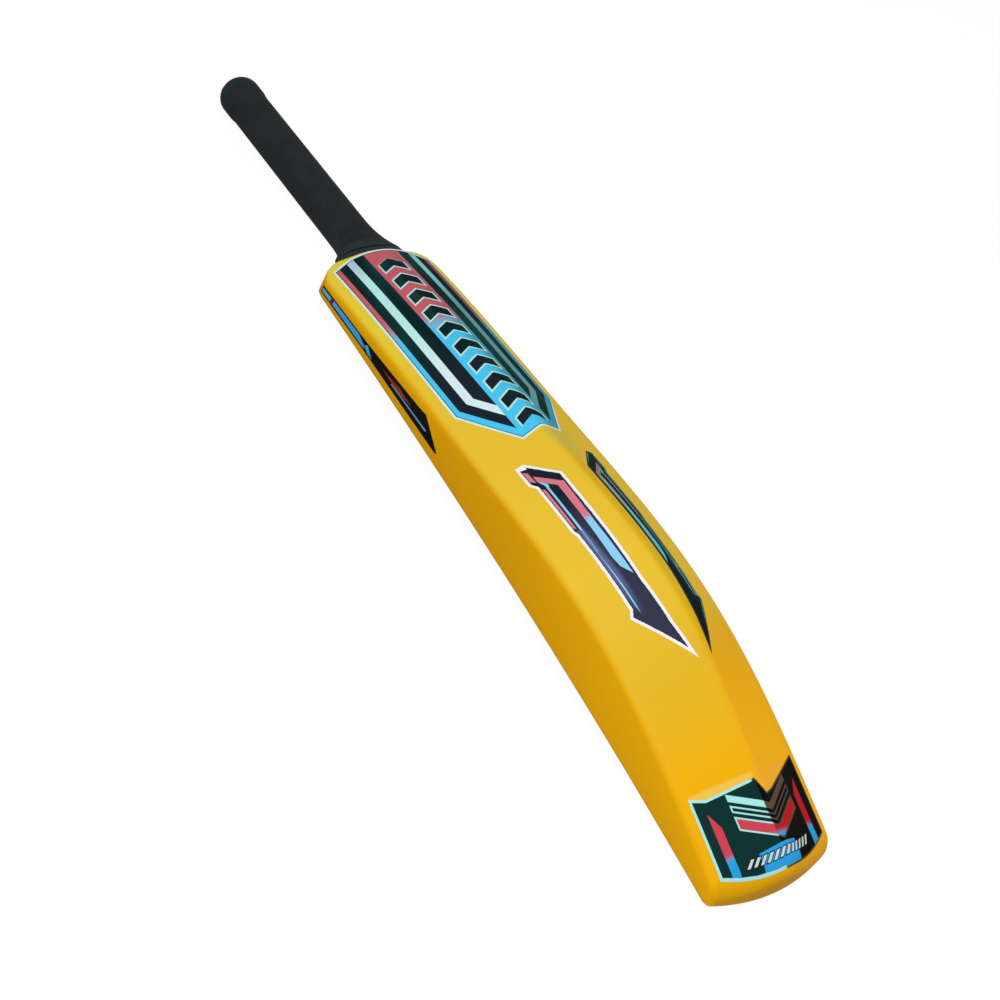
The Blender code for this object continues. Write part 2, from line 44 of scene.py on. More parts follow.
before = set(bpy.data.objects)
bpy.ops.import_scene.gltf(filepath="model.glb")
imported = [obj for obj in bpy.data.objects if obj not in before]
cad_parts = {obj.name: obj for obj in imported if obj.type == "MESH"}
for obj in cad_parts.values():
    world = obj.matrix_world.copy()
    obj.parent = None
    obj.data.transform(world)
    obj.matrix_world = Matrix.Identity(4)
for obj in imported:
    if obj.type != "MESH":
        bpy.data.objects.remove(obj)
CAD_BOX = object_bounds()

MM = 1000

# How the blade's frame lies in the row frame
LIE_TILT = math.radians(2.031286)
LIE_PLACE = Vector((0, -0.390066, -0.000417))
BLADE_TO_ROW = Matrix.Translation(LIE_PLACE) @ Matrix.Rotation(LIE_TILT, 4, "X")

# Blade sizes, as in the solids
BLADE_LENGTH = 0.5575
TOE_WIDTH = 0.108
SHOULDER_WIDTH = 0.1045
TOE_ARC_RADIUS = 0.150
FACE_BOW = 0.0082
FACE_BOW_TO_TOE = 0.0060
EDGE_HEIGHTS = (0.0160, 0.0375, 0.0495, 0.0460, 0.0355, 0.0265, 0.0147)
SPINE_HEIGHTS = (0.0370, 0.0575, 0.0775, 0.0720, 0.0580, 0.0455, 0.0318)
FACE_EDGE_ROUND = 0.004
BACK_EDGE_ROUND = 0.008
SPINE_ROUND = 0.014
SPINE_ROUND_AT_TOP = 0.095
SPINE_CROWN_START = 0.60
SPINE_ROUND_LIMIT = 0.6
TOE_ROUNDS = (0.004, 0.0065, 0.012)
SHOULDER_ACROSS = 0.030
SHOULDER_DOWN = 0.0195
TOP_FACE_ROUND = 0.0025
TOP_BACK_ROUND = 0.004
SMALLEST_ROUND = 0.0005
SPIGOT_MARGIN = 0.003
SPIGOT_HALF_WIDTH = SHOULDER_WIDTH / 2 - SHOULDER_ACROSS - SPIGOT_MARGIN
SPIGOT_HALF_HEIGHT = 0.008
SPIGOT_LENGTH = 0.050
SPIGOT_TAPER = 0.0015
SPIGOT_RISE = 0.0020
SOCKET_DEPTH = 0.052
SEAT_GAP = 0.0003

# Handle sizes, as in the solids
HANDLE_HEIGHT = 0.0125
HANDLE_LEAN = math.radians(6.1)
HANDLE_LENGTH = 0.2246
GRIP_RADIUS_LOW = 0.0166
GRIP_RADIUS_HIGH = 0.0161
KNOB_RADIUS = 0.0169
KNOB_LENGTH = 0.0240
KNOB_STEP = 0.0080
BUTT_ROUND = 0.0135
LIP_HALF_WIDTH = 0.0310
LIP_HALF_HEIGHT = 0.0120
LIP_RISE = 0.0018
LIP_HEIGHT = 0.0046
FLARE_LENGTH = 0.0370
SLEEVE_WALL = 0.0025
HANDLE_FOOT = Vector((0, BLADE_LENGTH, HANDLE_HEIGHT))

# Outlines of the stickers, as in the solids, in millimetres: (x, y) from the blade's toe for those on the
# back, and (y, height over the face) for the one on the left edge
SHOULDER_LABEL_HALF_WIDTH = 44.0
SHOULDER_LABEL_TOP = 553.2
SHOULDER_LABEL_CROWN = 2.3
SHOULDER_LABEL_CHAMFER = (17.0, 7.0)
SHOULDER_LABEL_SIDE_END = 380.2
SHOULDER_LABEL_POINT = (17.0, 340.2)
SHOULDER_LABEL_NOTCH = 4.5
FLANK_LABEL_CORNERS = (
    (34.8, 320.5), (28.5, 321.5), (11.7, 303.0), (12.6, 205.0), (10.2, 170.0), (5.8, 141.0),
    (32.0, 183.5), (29.6, 189.0), (30.6, 253.5), (31.8, 257.0), (31.8, 299.5), (34.8, 303.5),
)
TOE_LABEL_MARGIN = 4.0
TOE_LABEL_ARC_RADIUS = 85.0
TOE_LABEL_LEAN = math.radians(2.5)
TOE_LABEL_TOP = ((-48.5, 67.0), (-38.0, 62.2), (-3.0, 61.0), (2.5, 50.0), (9.5, 52.0), (45.8, 70.5))
EDGE_LABEL_CORNERS = (
    (541.5, 6.3), (541.5, 12.3), (510.0, 14.3), (477.0, 16.4), (450.0, 19.0), (404.5, 24.2),
    (397.0, 25.8), (372.0, 11.8), (373.5, 10.6), (470.0, 8.6),
)
CROWN_STEPS = 4
TOE_ARC_STEPS = 24
TOE_BORDER_STEPS = 8

# Height of a sticker's top over the plastic, and its thickness, which takes it a little into the plastic
STICKER_TOP = 0.00025
STICKER_THICKNESS = 0.00030

# The lengths of blade that the stickers are cut from, how near to a cut a point counts as on it, and the
# sides that the stickers face
SHOULDER_SPAN = (0.332, BLADE_LENGTH)
FLANK_SPAN = (0.135, 0.328)
TOE_SPAN = (0, 0.078)
EDGE_SPAN = (0.365, BLADE_LENGTH)
CUT_TOLERANCE = 1e-8
TO_BACK = Vector((0, 0, 1))
TO_LEFT = Vector((-1, 0, 0))

# Fineness of the blade
FACE_EDGE_STEPS = 4
BACK_EDGE_STEPS = 8
FLANK_STEPS = 8
SPINE_STEPS = 14
FACE_STEPS = 2 * (BACK_EDGE_STEPS + FLANK_STEPS - FACE_EDGE_STEPS) + SPINE_STEPS
CHAIN_POINTS = FACE_STEPS + 2 * FACE_EDGE_STEPS + 1
RING_POINTS = 2 * CHAIN_POINTS
STATION_STEP = 0.0045
STATION_MARGIN = 0.003
TOE_TURNS = 12
SHOULDER_TURNS = 16
SMOOTH_ANGLE = math.radians(40)

# Fineness and ribs of the grip: hoops round it just above the skirt, then a zigzag along it
RIB_COUNT = 76
POINTS_PER_RIB = 5
GRIP_POINTS = RIB_COUNT * POINTS_PER_RIB
RIB_DEPTH = 0.00010
RIB_SLOPE = math.radians(60)
ZIGZAG_START = 0.020
ZIGZAG_LENGTH = 0.031
RINGS_PER_ZIGZAG = 20
HOOP_START = 0.0105
HOOP_PITCH = 0.0013
RIB_FADE = 0.0015
LIP_STEPS = 12
BUTT_STEPS = 24

# Camera of the photograph: its focal length in pixels of a 1000 pixel frame, its place, and its axes before
# a last small turn about the blade's x
PICTURE_SIZE = 1000
FOCAL_PIXELS = 1885.534
SENSOR_WIDTH = 36
CAMERA_PLACE = Vector((-0.81512, -0.21430, 0.92262))
CAMERA_RIGHT = Vector((0.7786, -0.4967, 0.3835))
CAMERA_DOWN = Vector((-0.1844, -0.7652, -0.6168))
CAMERA_TURN = -0.000662

# Studio: lamps, a pale floor that glows a little for the camera, and a white backdrop
LAMPS = (
    {"name": "key", "place": (-1.0, -0.38, 1.28), "target": (0, -0.05, 0.03),
     "size": (1.2, 1.4), "power": 21, "tint": (1, 1, 1)},
    {"name": "rim", "place": (1.15, -0.55, 0.8), "target": (0, -0.2, 0.03),
     "size": (0.4, 0.8), "power": 6, "tint": (1, 0.93, 0.84)},
)
WHITE = (1, 1, 1, 1)
FLOOR_SIZE = 4
FLOOR_SEGMENTS = 8
FLOOR_DROP = 0.0005
FLOOR_GREY = (170, 170, 170)
FLOOR_ROUGHNESS = 0.9
FLOOR_SHINE = 0.1
FLOOR_GLOW = 1.2
FLOOR_GLOW_SHARE = 0.78
ROOM_LIGHT = 0.32
BACKDROP_LIGHT = 1.0

# Half the width of a printed edge, in three grades
SOFT_EDGE = 0.12
FINE_EDGE = 0.1
BROAD_EDGE = 0.15


def mix(low, high, share):
    return low + (high - low) * share


def ease(share):
    share = min(max(share, 0.0), 1.0)
    return share * share * (3 - 2 * share)


def spline_bends(heights):
    values = np.array(heights)
    count = len(values)
    system = 4 * np.eye(count) + np.eye(count, k=1) + np.eye(count, k=-1)
    system[0, :3] = (1, -2, 1)
    system[-1, -3:] = (1, -2, 1)
    target = np.zeros(count)
    target[1:-1] = 6 * (values[2:] - 2 * values[1:-1] + values[:-2])
    return np.linalg.solve(system, target)


EDGE_BENDS = spline_bends(EDGE_HEIGHTS)
SPINE_BENDS = spline_bends(SPINE_HEIGHTS)


def spline_height(heights, bends, share):
    place = share * (len(heights) - 1)
    low = min(max(int(math.floor(place)), 0), len(heights) - 2)
    after = place - low
    before = 1 - after
    straight = before * heights[low] + after * heights[low + 1]
    curve = (before**3 - before) * bends[low] + (after**3 - after) * bends[low + 1]
    return straight + curve / 6


def face_height(y):
    share = y / BLADE_LENGTH
    return share * (1 - share) * (4 * FACE_BOW + FACE_BOW_TO_TOE * (1 - 2 * share))


def rounded_corner(before, corner, after, radius, steps):
    back = (before - corner).normalized()
    ahead = (after - corner).normalized()
    half = back.angle(ahead) / 2
    middle = corner + (back + ahead).normalized() * (radius / math.sin(half))
    start = corner + back * (radius / math.tan(half)) - middle
    sweep = math.pi - 2 * half
    return [middle + Matrix.Rotation(sweep * i / steps, 2) @ start for i in range(steps + 1)]


def between(start, end, steps):
    return [start.lerp(end, i / steps) for i in range(1, steps)]


def blade_section(y, face_inset, side_inset, back_inset):
    """The blade's section at y: along the face from left to right, then back over the ridge."""
    share = y / BLADE_LENGTH
    half_width = mix(TOE_WIDTH, SHOULDER_WIDTH, share) / 2
    face = face_height(y)
    edge = face + spline_height(EDGE_HEIGHTS, EDGE_BENDS, share)
    spine = face + spline_height(SPINE_HEIGHTS, SPINE_BENDS, share)
    slope = (spine - edge) / half_width
    drop = back_inset * math.hypot(1, slope)
    x = half_width - side_inset
    low = face + face_inset
    high = edge + slope * side_inset - drop
    ridge = Vector((0, spine - drop))
    low_left, low_right = Vector((-x, low)), Vector((x, low))
    high_left, high_right = Vector((-x, high)), Vector((x, high))
    crown = ease((share - SPINE_CROWN_START) / (1 - SPINE_CROWN_START))
    widest = SPINE_ROUND_LIMIT * x * math.hypot(1, slope) / slope
    spine_round = min(mix(SPINE_ROUND, SPINE_ROUND_AT_TOP, crown) - back_inset, widest)
    face_round = max(FACE_EDGE_ROUND - max(face_inset, side_inset), SMALLEST_ROUND)
    back_round = max(BACK_EDGE_ROUND - max(back_inset, side_inset), SMALLEST_ROUND)
    left_foot = rounded_corner(high_left, low_left, low_right, face_round, FACE_EDGE_STEPS)
    right_foot = rounded_corner(low_left, low_right, high_right, face_round, FACE_EDGE_STEPS)
    right_edge = rounded_corner(low_right, high_right, ridge, back_round, BACK_EDGE_STEPS)
    crest = rounded_corner(high_right, ridge, high_left, spine_round, SPINE_STEPS)
    left_edge = rounded_corner(ridge, high_left, low_left, back_round, BACK_EDGE_STEPS)
    return [
        *left_foot,
        *between(left_foot[-1], right_foot[0], FACE_STEPS),
        *right_foot,
        *right_edge,
        *between(right_edge[-1], crest[0], FLANK_STEPS),
        *crest,
        *between(crest[-1], left_edge[0], FLANK_STEPS),
        *left_edge,
    ]


def zone_shares():
    """For each point of a section, how far it belongs to the face, to the sides and to the back."""
    to_face = [i / FACE_EDGE_STEPS for i in range(FACE_EDGE_STEPS + 1)]
    to_back = [i / BACK_EDGE_STEPS for i in range(BACK_EDGE_STEPS + 1)]
    return [
        *[(share, 1 - share, 0) for share in to_face],
        *[(1, 0, 0)] * (FACE_STEPS - 1),
        *[(share, 1 - share, 0) for share in reversed(to_face)],
        *[(0, 1 - share, share) for share in to_back],
        *[(0, 0, 1)] * (CHAIN_POINTS - 2 * len(to_back)),
        *[(0, 1 - share, share) for share in reversed(to_back)],
    ]


ZONES = zone_shares()
FIRST_STATION = TOE_WIDTH**2 / (8 * TOE_ARC_RADIUS) + max(TOE_ROUNDS) + STATION_MARGIN
LAST_STATION = BLADE_LENGTH - SHOULDER_DOWN - STATION_MARGIN


def toe_ring(turn, inset):
    angle = turn * math.pi / 2
    radii = [max(radius - inset, SMALLEST_ROUND) for radius in TOE_ROUNDS]
    insets = [inset + radius * (1 - math.cos(angle)) for radius in radii]
    depths = [inset + radius * (1 - math.sin(angle)) for radius in radii]
    sections = {}
    ring = []
    for index, shares in enumerate(ZONES):
        depth = sum(share * value for share, value in zip(shares, depths))
        if depth not in sections:
            sections[depth] = blade_section(depth, *insets)
        x = sections[depth][index].x
        y = x * x / (2 * TOE_ARC_RADIUS) + depth
        point = blade_section(y, *insets)[index]
        ring.append(Vector((point.x, y, point.y)))
    return ring


def round_inset(radius, depth):
    left = max(radius - depth, 0)
    return radius - math.sqrt(max(radius * radius - left * left, 0))


def shoulder_ring(turn, inset):
    angle = turn * math.pi / 2
    depth = (SHOULDER_DOWN - inset) * (1 - math.sin(angle))
    face_inset = inset + round_inset(TOP_FACE_ROUND, depth)
    side_inset = inset + (SHOULDER_ACROSS - inset) * (1 - math.cos(angle))
    back_inset = inset + round_inset(TOP_BACK_ROUND, depth)
    y = BLADE_LENGTH - inset - depth
    return [Vector((x, y, z)) for x, z in blade_section(y, face_inset, side_inset, back_inset)]


def blade_rings(low, high, inset):
    """Rings of the blade between two heights, with its ends where low or high lie past the stations."""
    rings = []
    if low < FIRST_STATION:
        rings += [toe_ring(turn, inset) for turn in np.linspace(1, 0, TOE_TURNS)]
    start = max(low, FIRST_STATION)
    end = min(high, LAST_STATION)
    count = max(2, round((end - start) / STATION_STEP))
    for y in np.linspace(start, end, count):
        rings.append([Vector((x, y, z)) for x, z in blade_section(y, inset, inset, inset)])
    if high > LAST_STATION:
        rings += [shoulder_ring(turn, inset) for turn in np.linspace(0, 1, SHOULDER_TURNS)]
    return rings


def ring_angles(count):
    """Angles round a ring, from its left side on underneath."""
    return [math.pi + 2 * math.pi * (i + 0.5) / count for i in range(count)]


def socket_ring(depth):
    share = depth / SPIGOT_LENGTH
    middle = HANDLE_FOOT + Vector((0, -depth, SPIGOT_RISE * share))
    half_width = SPIGOT_HALF_WIDTH - SPIGOT_TAPER * share + SEAT_GAP
    half_height = SPIGOT_HALF_HEIGHT - SPIGOT_TAPER * share + SEAT_GAP
    ring = []
    for angle in ring_angles(RING_POINTS):
        ring.append(middle + Vector((half_width * math.cos(angle), 0, half_height * math.sin(angle))))
    return ring


def add_object(name, data):
    added = bpy.data.objects.new(name, data)
    bpy.context.scene.collection.objects.link(added)
    return added


def add_piece(name, built, material, slot, *replaced):
    """Moves a finished mesh into the row frame, under the root body, and hides the parts that it stands for.
    """
    bmesh.ops.recalc_face_normals(built, faces=built.faces)
    built.transform(BLADE_TO_ROW)
    for vertex in built.verts:
        vertex.co = [min(max(value, low), high) for value, low, high in zip(vertex.co, *CAD_BOX)]
    mesh = bpy.data.meshes.new(name)
    built.to_mesh(mesh)
    built.free()
    mesh.shade_smooth()
    mesh.set_sharp_from_angle(angle=SMOOTH_ANGLE)
    mesh.materials.append(material)
    piece = add_object(name, mesh)
    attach(piece, "root")
    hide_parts(*replaced)


def skin_over(rings):
    """A skin over rings of points, with a face across its first ring, and the corners of its last ring."""
    built = bmesh.new()
    loops = [[built.verts.new(point) for point in ring] for ring in rings]
    for low, high in zip(loops, loops[1:]):
        for i in range(len(low)):
            after = (i + 1) % len(low)
            built.faces.new((low[i], low[after], high[after], high[i]))
    built.faces.new(loops[0])
    return built, loops[-1]


def add_blade(material):
    """The blade from the floor of its socket up, over its top and down to its toe."""
    rings = [socket_ring(SOCKET_DEPTH), socket_ring(0), *reversed(blade_rings(0, BLADE_LENGTH, 0))]
    built, toe = skin_over(rings)
    for i in range(CHAIN_POINTS - 1):
        built.faces.new((toe[i], toe[i + 1], toe[RING_POINTS - 2 - i], toe[RING_POINTS - 1 - i]))
    add_piece("blade", built, material, "blade_plastic", "blade_shell")


def sides(outline):
    """Each corner of a closed outline, with the one after it."""
    return zip(outline, outline[1:] + outline[:1])


def holds(outline, first, second, point):
    """Whether a point lies inside an outline, both seen along the third axis."""
    inside = False
    for start, end in sides(outline):
        if (start[second] > point[second]) != (end[second] > point[second]):
            share = (point[second] - start[second]) / (end[second] - start[second])
            if point[first] < mix(start[first], end[first], share):
                inside = not inside
    return inside


def sticker_mesh(span, outline, outward):
    """A sticker's skin over the blade, cut to an outline that is seen from outside."""
    built = bmesh.new()
    loops = [[built.verts.new(point) for point in ring] for ring in blade_rings(*span, -STICKER_TOP)]
    for one, two in zip(loops, loops[1:]):
        for i in range(CHAIN_POINTS - 1, RING_POINTS - 1):
            built.faces.new((one[i], one[i + 1], two[i + 1], two[i]))
        built.faces.new((one[-1], one[0], two[0], two[-1]))
    for start, end in sides(outline):
        geometry = built.verts[:] + built.edges[:] + built.faces[:]
        normal = (end - start).cross(outward)
        bmesh.ops.bisect_plane(built, geom=geometry, dist=CUT_TOLERANCE, plane_co=start, plane_no=normal)
    first, second = [axis for axis in range(3) if outward[axis] == 0]
    outside = []
    for face in built.faces:
        middle = face.calc_center_median()
        if middle.dot(outward) < 0 or not holds(outline, first, second, middle):
            outside.append(face)
    bmesh.ops.delete(built, geom=outside, context="FACES")
    loose = [vertex for vertex in built.verts if not vertex.link_faces]
    bmesh.ops.delete(built, geom=loose, context="VERTS")
    bmesh.ops.recalc_face_normals(built, faces=built.faces)
    if sum(face.normal.dot(outward) for face in built.faces) < 0:
        bmesh.ops.reverse_faces(built, faces=built.faces)
    bmesh.ops.solidify(built, geom=built.faces[:], thickness=STICKER_THICKNESS)
    return built


def grip_sizes(along):
    """The grip's half width, half height and rise at one place along the handle, without its ribs."""
    knob_start = HANDLE_LENGTH - KNOB_LENGTH - KNOB_STEP
    radius = mix(GRIP_RADIUS_LOW, GRIP_RADIUS_HIGH, min(along / knob_start, 1))
    radius += (KNOB_RADIUS - GRIP_RADIUS_HIGH) * ease((along - knob_start) / KNOB_STEP)
    left = 1 - min(max((along - LIP_HEIGHT) / FLARE_LENGTH, 0), 1)
    flare = left**3
    return mix(radius, LIP_HALF_WIDTH, flare), mix(radius, LIP_HALF_HEIGHT, flare), LIP_RISE * flare


def grip_profile():
    """Places along the outside of the grip, from its lip to the flat of its butt, with the inset there."""
    rim = SLEEVE_WALL / 2
    places = []
    for bend in np.linspace(0, math.pi, LIP_STEPS + 1)[:-1]:
        places.append((LIP_HEIGHT + rim * (1 - math.sin(bend)), rim * (1 + math.cos(bend))))
    hoops = np.arange(LIP_HEIGHT + rim, ZIGZAG_START, HOOP_PITCH / POINTS_PER_RIB)
    zigzags = np.arange(ZIGZAG_START, HANDLE_LENGTH - BUTT_ROUND, ZIGZAG_LENGTH / RINGS_PER_ZIGZAG)
    places += [(along, 0.0) for along in (*hoops, *zigzags)]
    for turn in np.linspace(0, math.pi / 2, BUTT_STEPS):
        along = HANDLE_LENGTH - BUTT_ROUND * (1 - math.sin(turn))
        places.append((along, BUTT_ROUND * (1 - math.cos(turn))))
    return places


def grip_ring(along, half_width, half_height, rise, angles):
    axis = np.array((0, math.cos(HANDLE_LEAN), -math.sin(HANDLE_LEAN)))
    up = np.array((0, math.sin(HANDLE_LEAN), math.cos(HANDLE_LEAN)))
    middle = np.array(HANDLE_FOOT) + axis * along + up * rise
    across = (half_width * np.cos(angles))[:, None] * np.array((1.0, 0, 0))
    over = (half_height * np.sin(angles))[:, None] * up
    return middle + across + over


def rib_turn(along):
    """How far a rib of the zigzag has turned round the grip at one place."""
    wave = max(along - ZIGZAG_START, 0) / ZIGZAG_LENGTH
    fold = abs((wave + 1) % 2 - 1) * ZIGZAG_LENGTH
    return fold / math.tan(RIB_SLOPE) / GRIP_RADIUS_LOW


def rib_depths(along, angles):
    """How deep the grooves between the ribs are at one place, for points that turn with the ribs."""
    knob = HANDLE_LENGTH - BUTT_ROUND
    shown = ease((along - HOOP_START) / RIB_FADE) * ease((knob - along) / (2 * RIB_FADE))
    phase = math.tau * along / HOOP_PITCH if along < ZIGZAG_START else RIB_COUNT * angles
    return shown * RIB_DEPTH * (0.5 - 0.5 * np.cos(phase))


def add_grip(material):
    """The grip as one closed form, from inside its lip to the flat of its butt."""
    angles = np.array(ring_angles(GRIP_POINTS))
    half_width, half_height, rise = grip_sizes(LIP_HEIGHT)
    inside = (half_width - SLEEVE_WALL, half_height - SLEEVE_WALL, rise)
    rings = [grip_ring(LIP_HEIGHT + SLEEVE_WALL, *inside, angles)]
    for along, inset in grip_profile():
        half_width, half_height, rise = grip_sizes(along)
        depth = inset + rib_depths(along, angles)
        turned = angles - rib_turn(along)
        rings.append(grip_ring(along, half_width - depth, half_height - depth, rise, turned))
    built, butt = skin_over(rings)
    built.faces.new(butt)
    add_piece("grip", built, material, "grip_rubber", "grip_sleeve")


def colour(red, green, blue):
    """A screen's colour, from 0 to 255, in the linear values that a shader takes (the sRGB curve)."""
    values = []
    for channel in (red, green, blue):
        share = channel / 255
        values.append(share / 12.92 if share <= 0.04045 else ((share + 0.055) / 1.055) ** 2.4)
    return (*values, 1)


def twice_area(corners):
    """Twice the area inside an outline, and below 0 where the outline runs clockwise."""
    return sum(a[0] * b[1] - b[0] * a[1] for a, b in sides(corners))


def shrunk(corners, inset):
    """A convex outline with its edges moved inwards."""
    side = math.copysign(inset, twice_area(corners))
    moved = []
    for before, corner, after in zip(corners[-1:] + corners[:-1], corners, corners[1:] + corners[:1]):
        first = Vector((corner[0] - before[0], corner[1] - before[1])).normalized()
        second = Vector((after[0] - corner[0], after[1] - corner[1])).normalized()
        bend = 1 + first.dot(second)
        x = corner[0] - side * (first.y + second.y) / bend
        y = corner[1] + side * (first.x + second.x) / bend
        moved.append((x, y))
    return moved


class Look:
    """A material whose colours are worked out from a place on the blade, in millimetres."""

    def __init__(self, name, shine, inks):
        self.material = bpy.data.materials.new(name)
        self.material.use_nodes = True
        self.tree = self.material.node_tree
        self.shader = self.tree.nodes["Principled BSDF"]
        self.shader.inputs["Specular IOR Level"].default_value = shine
        self.inks = {key: colour(*value) for key, value in inks.items()}
        self.spot = self.node("TexCoord")
        self.place = self.seen_from(LIE_PLACE, LIE_TILT)
        self.x, self.y, self.z = self.split(self.place)

    def put(self, socket, value):
        """Gives a socket another node's output, a plain value, or the ink that a name stands for."""
        if isinstance(value, str):
            value = self.inks[value]
        if isinstance(value, bpy.types.NodeSocket):
            self.tree.links.new(value, socket)
        else:
            socket.default_value = value

    def node(self, kind, *values, **settings):
        """A new node, with its settings and its first inputs filled in."""
        node = self.tree.nodes.new("ShaderNode" + kind)
        for key, value in settings.items():
            setattr(node, key, value)
        for socket, value in zip(node.inputs, values):
            self.put(socket, value)
        return node

    def seen_from(self, origin, turn):
        """The place in millimetres, in a frame at origin that is turned about X."""
        values = (self.spot.outputs["Object"], origin, (turn, 0, 0), (1 / MM, 1 / MM, 1 / MM))
        return self.node("Mapping", *values, vector_type="TEXTURE").outputs[0]

    def split(self, vector):
        return list(self.node("SeparateXYZ", vector).outputs)

    def join(self, x, y):
        """A place of a plane, with 1 as its third value."""
        return self.node("CombineXYZ", x, y, 1.0).outputs[0]

    def vector(self, operation, *values):
        return self.node("VectorMath", *values, operation=operation)

    def math(self, operation, *values):
        return self.node("Math", *values, operation=operation).outputs[0]

    def plus(self, first, second):
        return self.math("ADD", first, second)

    def minus(self, first, second):
        return self.math("SUBTRACT", first, second)

    def times(self, first, second):
        return self.math("MULTIPLY", first, second)

    def line(self, value, slope, start):
        return self.math("MULTIPLY_ADD", value, slope, start)

    def size(self, value):
        return self.math("ABSOLUTE", value)

    def repeat(self, value, pitch):
        """How far a value is from the nearest multiple of a pitch."""
        return self.size(self.math("WRAP", value, pitch / 2, -pitch / 2))

    def ramp(self, value, low, high):
        """A smooth rise from 0 at low to 1 at high."""
        return self.node("MapRange", value, low, high, interpolation_type="SMOOTHSTEP").outputs["Result"]

    def over(self, value, level, soft=SOFT_EDGE):
        """1 where a value is over a level, and 0 where it is under it."""
        return self.ramp(self.minus(value, level), -soft, soft)

    def under(self, value, level, soft=SOFT_EDGE):
        """1 where a value is under a level, and 0 where it is over it."""
        return self.ramp(self.minus(value, level), soft, -soft)

    def within(self, value, low, high, soft=SOFT_EDGE):
        """1 where a value lies between two levels, and 0 outside them."""
        return self.times(self.over(value, low, soft), self.under(value, high, soft))

    def blend(self, share, low, high):
        node = self.node("Mix", share, data_type="RGBA")
        first, second = [socket for socket in node.inputs if socket.type == "RGBA"]
        self.put(first, low)
        self.put(second, high)
        return [socket for socket in node.outputs if socket.type == "RGBA"][0]

    def tint(self, base, ink, value, span):
        """A colour that gives way to an ink while a value runs through a span."""
        return self.blend(self.ramp(value, *span), base, ink)

    def noise(self, size, detail, stretch=(1, 1, 1)):
        """Soft noise from 0 to 1 whose patches are about size millimetres across."""
        node = self.node("TexNoise", self.vector("MULTIPLY", self.place, stretch).outputs["Vector"])
        node.inputs["Scale"].default_value = 1 / size
        node.inputs["Detail"].default_value = detail
        return node.outputs["Fac"]

    def inside(self, plane, corners, soft=SOFT_EDGE):
        """1 inside a convex outline of the plane and 0 outside."""
        if twice_area(corners) < 0:
            corners = corners[::-1]
        depth = None
        for start, end in sides(corners):
            along = Vector((end[0] - start[0], end[1] - start[1])).normalized()
            offset = along.y * start[0] - along.x * start[1]
            edge = self.vector("DOT_PRODUCT", plane, (-along.y, along.x, offset)).outputs["Value"]
            depth = edge if depth is None else self.math("MINIMUM", depth, edge)
        return self.ramp(depth, -soft, soft)

    def fill(self, base, plane, ink, corners, soft=SOFT_EDGE, strength=1.0):
        """An ink laid over a colour inside an outline of the plane."""
        return self.blend(self.times(self.inside(plane, corners, soft), strength), base, ink)

    def border(self, plane, corners):
        """How far a place of the plane is from the nearest edge of a chain of corners."""
        nearest = None
        for start, end in zip(corners, corners[1:]):
            run = (end[0] - start[0], end[1] - start[1], 0)
            square = run[0] ** 2 + run[1] ** 2
            offset = self.vector("SUBTRACT", plane, (*start, 1.0)).outputs["Vector"]
            share = self.vector("DOT_PRODUCT", offset, [step / square for step in run]).outputs["Value"]
            along = self.vector("SCALE", run)
            self.put(along.inputs["Scale"], self.math("MINIMUM", self.math("MAXIMUM", share, 0.0), 1.0))
            away = self.vector("DISTANCE", offset, along.outputs["Vector"]).outputs["Value"]
            nearest = away if nearest is None else self.math("MINIMUM", nearest, away)
        return nearest

    def finish(self, base, roughness, height, bump):
        """Sets the colour, the roughness (noise, its weight and the least value) and the bump."""
        grain, weight, least = roughness
        node = self.node("Bump")
        node.inputs["Strength"].default_value, node.inputs["Distance"].default_value = bump
        self.put(node.inputs["Height"], height)
        rough = self.line(self.noise(*grain), weight, least)
        for key, value in (("Base Color", base), ("Roughness", rough), ("Normal", node.outputs[0])):
            self.put(self.shader.inputs[key], value)
        return self.material


# The blade, with painted light: a lit lemon on its back and a shaded amber on its walls and towards its toe,
# where the change along the blade is partly the plastic's own hue and partly painted reflection. A span runs
# from where a change starts to where it is complete, in shares of the normal for the turns and in millimetres
# for the rest.
BLADE_SHINE = 0.035
BLADE_INKS = {
    "lemon": (230, 191, 50), "lemon_cloud": (234, 197, 60), "lemon_toe": (226, 184, 42),
    "lemon_top": (231, 209, 64), "ridge": (222, 180, 10), "amber": (240, 174, 6),
    "amber_cloud": (244, 180, 8), "shaded_amber_top": (227, 165, 2), "shade": (208, 192, 78),
    "film": (238, 212, 112), "warm_film": (244, 172, 50), "speck": (214, 150, 6),
}
LIT_UPWARD_TURN = (0.1, 0.85)
LIT_LEFTWARD_TURN = (0.25, -0.15)
SLOW_TURN_SPAN = (340.0, 400.0)
SLOW_TURN_POWER = 1.2
LEMON_TOE_SPAN = (230.0, 130.0)
LEMON_TOP_SPAN = (400.0, 500.0)
RIDGE_SHADE_LEFT_SPAN = (-1.5, 2.5)
RIDGE_SHADE_RIGHT_SPAN = (13.0, 7.0)
RIDGE_SHADE_TOP_SPAN = (345.0, 290.0)
RIDGE_SHADE_STRENGTH = 0.75
SHADED_AMBER_TOP_SPAN = (90.0, 350.0)
LEMON_SPAN = (110.0, 205.0)
LIT_LEMON_LEAD_AT_LEFT = 55.0
BLADE_PATCHES = (
    ("shade", ((-4.0, 346.0), (1.0, 326.0), (14.0, 312.0), (22.0, 326.0), (24.0, 352.0)), 6.0, 0.9),
    ("film", ((-47.5, 68.5), (-46.0, 60.0), (-3.0, 58.0), (-3.0, 66.5), (-36.0, 67.6)), 1.2, 0.5),
    ("warm_film", ((-2.0, 66.0), (2.5, 50.0), (31.0, 63.0), (27.0, 67.5)), 1.2, 0.5),
)
CLOUD = (60, 3)
SPECK = (1.6, 2)
SPECK_STRENGTH = 0.10
BLADE_ROUGHNESS = ((9, 3), 0.10, 0.36)
BLADE_WAVES = (22, 2)
BLADE_PORES = (0.9, 2)
BLADE_PORE_DEPTH = 0.5
BLADE_BUMP = (0.25, 0.0002)


